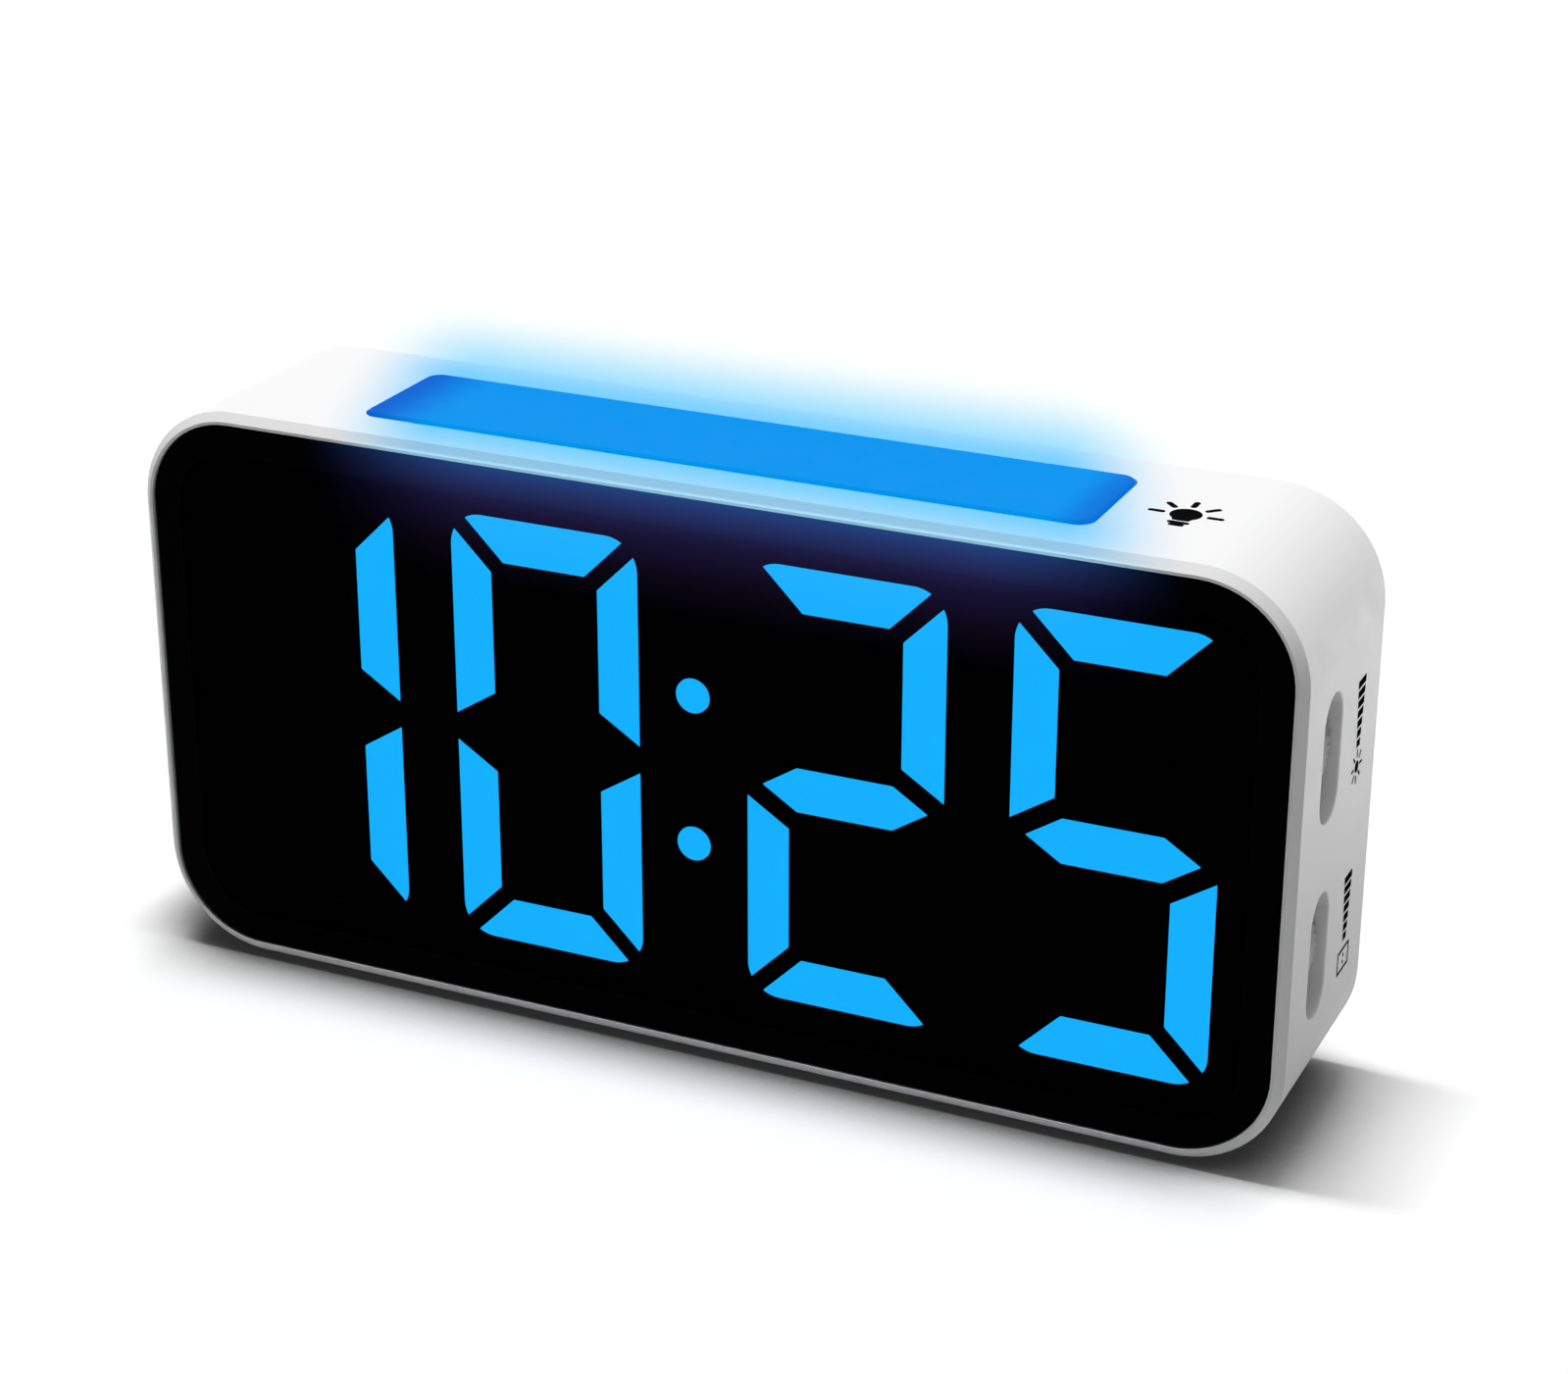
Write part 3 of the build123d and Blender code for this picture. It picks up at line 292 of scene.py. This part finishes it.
def lit(name, colour, strength, tone, size):
    """Milky plastic lit evenly from behind."""
    dim = tuple(UNLIT_SHARE * channel for channel in colour)
    finish = Finish(name, {"Specular IOR Level": 0.05, "Emission Strength": strength})
    finish.base(finish.toned(dim, tone=0.1, size=6 * MM))
    finish.rough(low=0.45, high=0.6, size=3 * MM)
    finish.link(finish.toned(colour, tone, size), finish.shader, "Emission Color")
    return finish.material


BAR_BRIGHT = (0.0, 0.290, 0.845)
BAR_DEEP = (0.0, 0.115, 0.640)
BAR_UNLIT = (0.001, 0.01, 0.02)
BAR_LEFT_FADE = 11 * MM
BAR_RIGHT_FADE = 6 * MM
BAR_RIGHT_SHARE = 0.7


def bar_lit():
    """The light bar: bright blue over its lamps, deeper blue towards its ends, the left one most."""
    finish = Finish("bar_blue", {"Specular IOR Level": 0.005, "Emission Strength": 1.0})
    x = finish.axes()[0]
    left_end = finish.spread(x, BAR_LEFT_FADE - BAR_HALF_LENGTH, -BAR_HALF_LENGTH, 0.0, 1.0, smooth=True)
    right_start = BAR_HALF_LENGTH - BAR_RIGHT_FADE
    right_end = finish.spread(x, right_start, BAR_HALF_LENGTH, 0.0, BAR_RIGHT_SHARE, smooth=True)
    towards_end = finish.math("MAXIMUM", left_end, right_end)
    bright = finish.toned(BAR_BRIGHT, tone=0.02, size=16 * MM)
    finish.link(finish.mix(towards_end, bright, BAR_DEEP), finish.shader, "Emission Color")
    finish.base(finish.toned(BAR_UNLIT, tone=0.1, size=5 * MM))
    finish.rough(low=0.4, high=0.5, size=3 * MM)
    finish.grain(size=0.3 * MM, depth=0.004 * MM, strength=0.3)
    return finish.material


MASK_GREEN = (0.012, 0.10, 0.035)
RUN_GREEN = (0.02, 0.16, 0.05)
RUN_EDGE_LOW = 0.52
RUN_EDGE_HIGH = 0.54


def circuit_board():
    """Solder mask over glass weave, with a faint pattern of copper runs."""
    finish = Finish("board_green", {"Specular IOR Level": 0.5})
    pattern = finish.noise(size=1.6 * MM, detail=0.0, stretch=(6, 1, 1))
    runs = finish.spread(pattern, RUN_EDGE_LOW, RUN_EDGE_HIGH, 0.0, 1.0)
    mask = finish.toned(MASK_GREEN, tone=0.15, size=0.4 * MM)
    finish.base(finish.mix(runs, mask, RUN_GREEN))
    finish.rough(low=0.25, high=0.4, size=2 * MM)
    finish.grain(size=0.25 * MM, depth=0.02 * MM, strength=0.5)
    return finish.material


CABLE_PITCH = 1.0 * MM
CABLE_GROOVE_SHADE = (0.55, 0.55, 0.54)
CABLE_RIB = (0.78, 0.78, 0.76)


def ribbed_cable():
    """Flat cable with its conductors showing as ribs, with painted shade in the grooves between them."""
    finish = Finish("cable_white", {"Specular IOR Level": 0.4})
    x = finish.axes()[0]
    rib = finish.math("SINE", finish.math("MULTIPLY", x, 2 * math.pi / CABLE_PITCH))
    # Painted shade: darker in the grooves between the ribs
    finish.base(finish.mix(finish.spread(rib, -1, 1, 0, 1), CABLE_GROOVE_SHADE, CABLE_RIB))
    finish.rough(low=0.4, high=0.5, size=3 * MM)
    bump = finish.add("ShaderNodeBump", {"Strength": 0.6, "Distance": 0.1 * MM})
    finish.link(rib, bump, "Height")
    finish.link(bump.outputs["Normal"], finish.shader, "Normal")
    return finish.material


FINISHES = {
    "white_shell": shell_white(),
    "smoked_lens": lens_smoked(),
    "display_black": moulded("display_black", (0.001, 0.001, 0.001), low=0.6, high=0.75, specular=0.0),
    "lit_blue": lit("lit_blue", DIGIT_BLUE, strength=1 / LENS_CLEAR**2, tone=0.02, size=9 * MM),
    "unlit_segment": moulded("unlit_segment", (0.0015, 0.0017, 0.002), low=0.6, high=0.7, specular=0.0),
    "bar_blue": bar_lit(),
    "board_green": circuit_board(),
    "steel": metal("steel", (0.55, 0.55, 0.56), low=0.25, high=0.42, stretch=(1, 1, 4)),
    "brass": metal("brass", (0.72, 0.50, 0.20), low=0.22, high=0.38, stretch=(4, 1, 1)),
    "led_white": lit("led_white", (0.55, 0.75, 1.0), strength=0.4, tone=0.1, size=1 * MM),
    "black_plastic": moulded("black_plastic", (0.014, 0.014, 0.015), low=0.4, high=0.55),
    "capacitor_sleeve": moulded("capacitor_sleeve", (0.02, 0.025, 0.06), low=0.25, high=0.4),
    "plunger_white": moulded("plunger_white", (0.7, 0.7, 0.68), low=0.4, high=0.5),
    "button_grey": moulded("button_grey", (0.42, 0.43, 0.44), low=0.5, high=0.62),
    "wheel_grey": moulded("wheel_grey", (0.78, 0.78, 0.79), low=0.42, high=0.55),
    "cable_white": ribbed_cable(),
    "tape_black": moulded(
        "tape_black", (0.01, 0.01, 0.01), low=0.8, high=0.95, grain=0.6 * MM, depth=0.08 * MM
    ),
    "foot_rubber": moulded(
        "foot_rubber", (0.03, 0.03, 0.032), low=0.75, high=0.9, grain=0.5 * MM, depth=0.05 * MM
    ),
}
for entry in frame["record"]["subparts"]:
    for place in frame["nodes"][entry["node"]].material_slots:
        place.material = FINISHES[entry["material_slot"]]


# Flat outlines of printed marks, in millimetres; a mark is a list of closed outlines
def turns(start, end, steps):
    """Angles from start to end, given in degrees."""
    return [math.radians(start + (end - start) * step / steps) for step in range(steps + 1)]


def around(x, y, radius, angles):
    """Points on a circle at these angles."""
    return [(x + radius * math.cos(angle), y + radius * math.sin(angle)) for angle in angles]


def disc(x, y, radius, steps=32):
    """A filled circle."""
    return around(x, y, radius, turns(0, 360, steps)[:-1])


def arc(x, y, radius, width, start, end, steps=24):
    """A bent stroke of this width along part of a circle."""
    angles = turns(start, end, steps)
    inner = around(x, y, radius - width / 2, angles)
    return around(x, y, radius + width / 2, angles) + inner[::-1]


def ring(x, y, radius, width):
    """A circle drawn as two half turns."""
    return [arc(x, y, radius, width, 0, 180), arc(x, y, radius, width, 180, 360)]


def stroke(start, end, width):
    """A straight stroke with round ends."""
    heading = math.degrees(math.atan2(end[1] - start[1], end[0] - start[0]))
    cap_end = around(*end, width / 2, turns(heading - 90, heading + 90, 8))
    return cap_end + around(*start, width / 2, turns(heading + 90, heading + 270, 8))


def box_outline(x, y, width, height, line):
    """The four strokes of a rectangle."""
    left, right = x - width / 2, x + width / 2
    low, high = y - height / 2, y + height / 2
    return [
        stroke((left, low), (right, low), line),
        stroke((right, low), (right, high), line),
        stroke((right, high), (left, high), line),
        stroke((left, high), (left, low), line),
    ]


def rays(start_radius, end_radius, angles, line):
    """Strokes that point away from the middle."""
    starts = around(0, 0, start_radius, angles)
    ends = around(0, 0, end_radius, angles)
    return [stroke(start, end, line) for start, end in zip(starts, ends)]


def sun(radius, line):
    """A disc with eight rays."""
    return [disc(0, 0, 0.36 * radius)] + rays(0.62 * radius, radius, turns(0, 315, 7), line)


def bulb(radius, line):
    """A lamp bulb on its cap, with rays round it."""
    neck = 0.5 * radius
    glass = around(0, 0, radius, turns(-50, 230, 28))
    marks = [glass + [(-neck, -1.15 * radius), (neck, -1.15 * radius)]]
    for index, share in enumerate((1.0, 0.6)):
        level = -radius * (1.5 + 0.42 * index)
        marks.append(stroke((-share * neck, level), (share * neck, level), line))
    return marks + rays(1.5 * radius, 2.2 * radius, turns(0, 180, 4), line)


def screen(width, height, line):
    """A display outline with a colon in it."""
    marks = box_outline(0, 0, width, height, line)
    return marks + [disc(0, level * height, 0.7 * line) for level in (-0.17, 0.17)]


def clock_face(radius, line):
    """A dial with two hands."""
    hands = [stroke((0, 0), (0, 0.62 * radius), line), stroke((0, 0), (0.45 * radius, 0), line)]
    return ring(0, 0, radius, line) + hands


def bell(radius, line):
    """An alarm bell: a dome, its rim and its clapper."""
    dome = [(-0.85 * radius, -0.55 * radius), (0.85 * radius, -0.55 * radius)]
    dome += around(0, 0, 0.72 * radius, turns(0, 180, 16))
    rim = stroke((-radius, -0.62 * radius), (radius, -0.62 * radius), line)
    return [dome, rim, disc(0, -radius, 0.2 * radius)]


def chevrons(count, radius, line):
    """Upward chevrons, one over the other."""
    marks = []
    for index in range(count):
        y = (index - (count - 1) / 2) * 0.9 * radius - 0.3 * radius
        marks.append(stroke((-0.8 * radius, y), (0, y + 0.7 * radius), line))
        marks.append(stroke((0, y + 0.7 * radius), (0.8 * radius, y), line))
    return marks


def speaker(radius, line):
    """A loudspeaker with two sound waves."""
    cone = [
        (-radius, -0.35 * radius), (-0.55 * radius, -0.35 * radius), (0, -0.8 * radius),
        (0, 0.8 * radius), (-0.55 * radius, 0.35 * radius), (-radius, 0.35 * radius),
    ]
    return [cone] + [arc(0, 0, share * radius, line, -50, 50) for share in (0.5, 0.95)]


def polarity(radius, line):
    """Centre-positive inlet: plus, dot in an open ring, minus."""
    far = 2.6 * radius
    marks = [disc(0, 0, 0.3 * radius), arc(0, 0, radius, line, 35, 325)]
    marks.append(stroke((-far + 0.6 * radius, 0), (-radius, 0), line))
    marks.append(stroke((0.3 * radius, 0), (far - 0.6 * radius, 0), line))
    marks += ring(-far, 0, 0.6 * radius, line) + ring(far, 0, 0.6 * radius, line)
    marks.append(stroke((-far - 0.3 * radius, 0), (-far + 0.3 * radius, 0), line))
    marks.append(stroke((far - 0.3 * radius, 0), (far + 0.3 * radius, 0), line))
    marks.append(stroke((far, -0.3 * radius), (far, 0.3 * radius), line))
    return marks


def moved(marks, x, y):
    """The marks at another place."""
    return [[(u + x, v + y) for u, v in outline] for outline in marks]


# Printed marks: thin layers of ink on the surfaces that carry them, partly sunk so that no gap shows.
# Outlines and the ink's thickness are in millimetres, places in metres.
INK_SUNK = 0.02
INK_PROUD = 0.03
SIDE_FACE = Matrix(((0, 0, 1), (1, 0, 0), (0, 1, 0)))
TOP_FACE = Matrix(((1, 0, 0), (0, 1, 0), (0, 0, 1)))
REAR_FACE = Matrix(((-1, 0, 0), (0, 0, 1), (0, 1, 0)))


def printed(name, face, origin, marks, material, body):
    """A mark on a face; face turns the flat outline to the surface, origin is a point on it in metres."""
    mesh = bpy.data.meshes.new(name)
    shape = bmesh.new()
    for outline in marks:
        low = [shape.verts.new(face @ Vector((u, v, -INK_SUNK)) * MM + origin) for u, v in outline]
        high = [shape.verts.new(face @ Vector((u, v, INK_PROUD)) * MM + origin) for u, v in outline]
        shape.faces.new(low[::-1])
        shape.faces.new(high)
        for index in range(len(outline)):
            after = (index + 1) % len(outline)
            shape.faces.new((low[index], low[after], high[after], high[index]))
    bmesh.ops.recalc_face_normals(shape, faces=shape.faces)
    shape.to_mesh(mesh)
    shape.free()
    mesh.materials.append(material)
    piece = bpy.data.objects.new(name, mesh)
    bpy.context.scene.collection.objects.link(piece)
    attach(piece, body)
    return piece


def ink(name, colour):
    """Pad-printed ink with a faint speckle."""
    finish = Finish(name, {"Specular IOR Level": 0.0})
    finish.base(finish.toned(colour, tone=0.25, size=0.3 * MM))
    finish.rough(low=0.45, high=0.6, size=1 * MM)
    finish.grain(size=0.12 * MM, depth=0.004 * MM)
    return finish.material


dark_ink = ink("dark_ink", DARK_INK)
grey_ink = ink("grey_ink", GREY_INK)


def middle_of(node):
    """The middle of a node's box."""
    low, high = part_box(node)
    return (Vector(low) + Vector(high)) / 2


# Stepped scales and signs beside the wheels
SCALE_Y = 7.75 * MM
SCALE_STEPS = 7
SCALE_WIDEST = 3.3
SCALE_NARROWEST = 1.4
SCALE_TALL = 1.0
SCALE_PITCH = 1.357
SCALE_RISE = 1.3
SIGN_DROP = 6.0 * MM
WHEEL_SIGNS = (
    ("light_dimmer", sun(radius=2.2, line=0.34)),
    ("screen_dimmer", screen(width=4.6, height=2.9, line=0.36)),
)
for wheel, sign in WHEEL_SIGNS:
    middle = Vector((CASE_HIGH.x, SCALE_Y, middle_of(wheel + "_wheel").z))
    bars = []
    for step in range(SCALE_STEPS):
        width = SCALE_WIDEST + (SCALE_NARROWEST - SCALE_WIDEST) * step / (SCALE_STEPS - 1)
        level = SCALE_RISE + SCALE_PITCH * ((SCALE_STEPS - 1) / 2 - step)
        left, right = -width / 2, width / 2
        low, high = level - SCALE_TALL / 2, level + SCALE_TALL / 2
        bars.append([(left, low), (right, low), (right, high), (left, high)])
    printed(wheel + "_scale", SIDE_FACE, middle, bars, dark_ink, "root")
    printed(wheel + "_sign", SIDE_FACE, middle - Vector((0, 0, SIGN_DROP)), sign, dark_ink, "root")

# Sign of the light bar on the top
LIGHT_SIGN_PLACE = Vector((59.2 * MM, -0.6 * MM, CASE_HIGH.z))
printed("light_bar_sign", TOP_FACE, LIGHT_SIGN_PLACE, bulb(radius=2.0, line=0.8), dark_ink, "root")

# Signs over the rear controls
REAR_SIGN_RISE = 9.3 * MM
REAR_SIGNS = (
    ("time", clock_face(radius=1.7, line=0.35)),
    ("alarm", bell(radius=1.6, line=0.35)),
    ("hour", chevrons(count=2, radius=1.6, line=0.4)),
    ("minute", chevrons(count=1, radius=1.6, line=0.4)),
    ("volume", speaker(radius=1.7, line=0.35)),
)


def on_rear(node, across=0.0, rise=0.0):
    """The point of the rear face behind a node's middle, moved by this much."""
    middle = middle_of(node)
    return Vector((middle.x + across, REAR_Y, middle.z + rise))


for button, sign in REAR_SIGNS:
    spot = on_rear(button + "_button", rise=REAR_SIGN_RISE)
    printed(button + "_sign", REAR_FACE, spot, sign, grey_ink, "root")

# A bell and a crossed bell at the two ends of the slider's travel
SLIDER_TRAVEL_MIDDLE = 1.5 * MM
BELL_PLACE = 3.4
BELL_CROSS = 1.7
BELL_CROSS_LINE = 0.4
small_bell = bell(radius=1.4, line=0.3)
slider_spot = on_rear("alarm_slider", SLIDER_TRAVEL_MIDDLE, REAR_SIGN_RISE)
bell_cross = stroke((-BELL_CROSS, -BELL_CROSS), (BELL_CROSS, BELL_CROSS), BELL_CROSS_LINE)
slider_marks = moved(small_bell, BELL_PLACE, 0) + moved(small_bell, -BELL_PLACE, 0)
slider_marks += moved([bell_cross], BELL_PLACE, 0)
printed("alarm_slider_sign", REAR_FACE, slider_spot, slider_marks, grey_ink, "root")

# Polarity under the inlet
JACK_SIGN_DROP = 8.6 * MM
jack_spot = on_rear("power_jack", rise=-JACK_SIGN_DROP)
printed("power_jack_sign", REAR_FACE, jack_spot, polarity(radius=1.3, line=0.32), grey_ink, "root")

# Turn of the cell door, from locked to open
DOOR_SIGN_RADIUS = 15.2
DOOR_SIGN_TURN = (60, 110)
DOOR_SIGN_LINE = 0.4
DOOR_SIGN_DOT = 0.7
door_ends = around(0, 0, DOOR_SIGN_RADIUS, turns(*DOOR_SIGN_TURN, 1))
door_marks = [arc(0, 0, DOOR_SIGN_RADIUS, DOOR_SIGN_LINE, *DOOR_SIGN_TURN)]
door_marks += [disc(x, y, DOOR_SIGN_DOT) for x, y in door_ends]
printed("cell_door_sign", REAR_FACE, on_rear("cell_door"), door_marks, grey_ink, "root")


# Floor, painted glow and light
def stage_plate(name, corners, material):
    """A flat plate that isn't part of the object."""
    mesh = bpy.data.meshes.new(name)
    mesh.from_pydata(corners, [], [range(len(corners))])
    mesh.materials.append(material)
    plate = bpy.data.objects.new(name, mesh)
    bpy.context.scene.collection.objects.link(plate)


FLOOR_REACH = 6.0
# The floor's colours; the shaded ones are where its painted contact shadow is full
FLOOR_WHITE = (0.84, 0.84, 0.84)
FLOOR_SHADED = (0.06, 0.06, 0.06)
FLOOR_BOUNCE = (0.50, 0.50, 0.50)
FLOOR_LIFT = (0.13, 0.13, 0.13)
FLOOR_LIFT_SHADED = (0.02, 0.02, 0.02)
CONTACT_REACH = 16 * MM
CONTACT_SAMPLES = 16
# Openness at which the painted contact shade is full, and at which it ends
CONTACT_FULL = 0.4
CONTACT_END = 0.99
# What stands to the right of a spot shades it more than what stands to its left
CONTACT_LEAN = Vector((0.3, 0.0, 1.0)).normalized()


def floor_finish():
    """Pale floor, white to the camera, with a painted contact shadow that darkens it close to what stands
    on it.
    """
    finish = Finish("floor_white", {"Specular IOR Level": 0.0, "Roughness": 0.9})
    near = finish.add("ShaderNodeAmbientOcclusion", {"Distance": CONTACT_REACH}, samples=CONTACT_SAMPLES)
    lean = finish.add("ShaderNodeCombineXYZ", dict(zip("XYZ", CONTACT_LEAN)))
    finish.link(lean.outputs["Vector"], near, "Normal")
    open_share = finish.spread(near.outputs["AO"], CONTACT_FULL, CONTACT_END, 0.0, 1.0, smooth=True)
    path = finish.add("ShaderNodeLightPath")
    seen = finish.math("MAXIMUM", path.outputs["Is Camera Ray"], path.outputs["Is Glossy Ray"])
    seen = finish.math("MAXIMUM", seen, path.outputs["Is Transmission Ray"])
    white = finish.toned(FLOOR_WHITE, tone=0.01, size=0.5)
    # Painted shadow: colour and own light darken where nearby things close off the floor
    paper = finish.mix(open_share, FLOOR_SHADED, white)
    finish.base(finish.mix(seen, FLOOR_BOUNCE, paper))
    lift = finish.mix(open_share, FLOOR_LIFT_SHADED, FLOOR_LIFT)
    finish.link(lift, finish.shader, "Emission Color")
    finish.link(seen, finish.shader, "Emission Strength")
    return finish.material


floor_corners = [(x * FLOOR_REACH, y * FLOOR_REACH, 0) for x, y in ((-1, -1), (1, -1), (1, 1), (-1, 1))]
stage_plate("floor", floor_corners, floor_finish())

# A clear card over the rear top edge, with the light bar's glow painted on it
GLOW_CARD_TINT = (0.25, 0.69, 1.0)
GLOW_CARD_MIDDLE = -5.0 * MM
GLOW_CARD_HALF = 40.5 * MM
GLOW_CARD_REACH = 11.8 * MM
GLOW_CARD_END_RATE = 0.56
GLOW_CARD_FOOT = CASE_HIGH.z - 2.7 * MM
GLOW_CARD_PLACE = CASE_HIGH.y + 0.05 * MM


def glow_card_finish():
    """A clear card with the light bar's glow painted on it: it colours what lies behind it blue, most
    near the case.
    """
    finish = Finish("glow_card", {})
    x, y, z = finish.axes()
    past_end = finish.math("MULTIPLY", finish.beyond(x, GLOW_CARD_MIDDLE, GLOW_CARD_HALF), GLOW_CARD_END_RATE)
    glow = finish.fading(past_end, finish.beyond(z, GLOW_CARD_FOOT, 0.0), GLOW_CARD_REACH)
    clear = finish.add("ShaderNodeBsdfTransparent")
    # Painted glow: what is seen through the card turns blue near the case
    finish.link(finish.mix(glow, (1.0, 1.0, 1.0), GLOW_CARD_TINT), clear, "Color")
    output = finish.tree.nodes["Material Output"]
    finish.link(clear.outputs["BSDF"], output, "Surface")
    return finish.material


glow_card_left = GLOW_CARD_MIDDLE - GLOW_CARD_HALF - GLOW_CARD_REACH / GLOW_CARD_END_RATE
glow_card_right = GLOW_CARD_MIDDLE + GLOW_CARD_HALF + GLOW_CARD_REACH / GLOW_CARD_END_RATE
glow_card_low = CASE_HIGH.z - 0.8 * MM
glow_card_high = GLOW_CARD_FOOT + GLOW_CARD_REACH
glow_card_corners = [
    (glow_card_left, GLOW_CARD_PLACE, glow_card_low), (glow_card_right, GLOW_CARD_PLACE, glow_card_low),
    (glow_card_right, GLOW_CARD_PLACE, glow_card_high), (glow_card_left, GLOW_CARD_PLACE, glow_card_high),
]
stage_plate("glow_backdrop", glow_card_corners, glow_card_finish())

# Cards on the floor: the low corner of each and its power
CARD_LIFT = 1 * MM
CARD_WIDTH = 0.30
CARD_DEPTH = 0.36
CARDS = (
    ("side_card", (0.115, 0.06), 0.62),
    ("rear_card", (-0.22, 0.05), 0.40),
)


def card_light(name, corner, power):
    """A card that lies on the floor from its low corner on, glows upwards and is itself out of sight."""
    lamp = bpy.data.lights.new(name, "AREA")
    lamp.shape = "RECTANGLE"
    lamp.size = CARD_WIDTH
    lamp.size_y = CARD_DEPTH
    lamp.energy = power
    card = bpy.data.objects.new(name, lamp)
    card.location = (corner[0] + CARD_WIDTH / 2, corner[1] + CARD_DEPTH / 2, CARD_LIFT)
    card.rotation_euler = (math.pi, 0, 0)
    card.visible_camera = False
    bpy.context.scene.collection.objects.link(card)


for card in CARDS:
    card_light(*card)

# Strips far overhead: the heading of each one's shadows and its power
STRIPS = (
    ("left_strip", (1, 0, 0), 2.5),
    ("rear_strip", (0, -1, 0), 0.42),
    ("right_strip", (-1, 0, 0), 0.42),
)
STRIP_LEANS = (0.04, 0.115, 0.19, 0.265)
STRIP_ANGLE = 0.08


def strip_light(name, heading, power):
    """A long light, made up of suns that lean further and further, with shadows that fall this way."""
    for index, lean in enumerate(STRIP_LEANS):
        lamp = bpy.data.lights.new(name, "SUN")
        lamp.energy = power / len(STRIP_LEANS)
        lamp.angle = STRIP_ANGLE
        holder = bpy.data.objects.new(name + str(index), lamp)
        aim = lean * Vector(heading) - Vector((0, 0, 1))
        holder.rotation_euler = aim.to_track_quat("-Z", "Y").to_euler()
        bpy.context.scene.collection.objects.link(holder)


for strip in STRIPS:
    strip_light(*strip)

# The world: white where it is seen, with only a little light of its own
WORLD_FILL = 0.03
world = bpy.data.worlds.new("studio")
bpy.context.scene.world = world
world.use_nodes = True
world_nodes = world.node_tree.nodes
world_links = world.node_tree.links
background = world_nodes["Background"]
background.inputs["Color"].default_value = (1.0, 1.0, 1.0, 1.0)
path = world_nodes.new("ShaderNodeLightPath")
seen = path.outputs["Is Camera Ray"]
for ray in ("Is Glossy Ray", "Is Transmission Ray"):
    either = world_nodes.new("ShaderNodeMath")
    either.operation = "MAXIMUM"
    world_links.new(seen, either.inputs[0])
    world_links.new(path.outputs[ray], either.inputs[1])
    seen = either.outputs["Value"]
strength = world_nodes.new("ShaderNodeMapRange")
strength.inputs["To Min"].default_value = WORLD_FILL
strength.inputs["To Max"].default_value = 1.0
world_links.new(seen, strength.inputs["Value"])
world_links.new(strength.outputs["Result"], background.inputs["Strength"])

# Camera
camera = bpy.data.objects.new("camera", bpy.data.cameras.new("camera"))
camera.data.lens = CAMERA_LENS
camera.data.sensor_width = CAMERA_SENSOR
camera.data.sensor_fit = "HORIZONTAL"
turn = Matrix((CAMERA_RIGHT, CAMERA_RIGHT.cross(CAMERA_FORWARD), -CAMERA_FORWARD)).transposed()
camera.matrix_world = Matrix.Translation(CAMERA_PLACE) @ turn.to_4x4()
bpy.context.scene.collection.objects.link(camera)
bpy.context.scene.camera = camera
bpy.context.scene.view_settings.view_transform = "Standard"

bpy.context.view_layer.update()
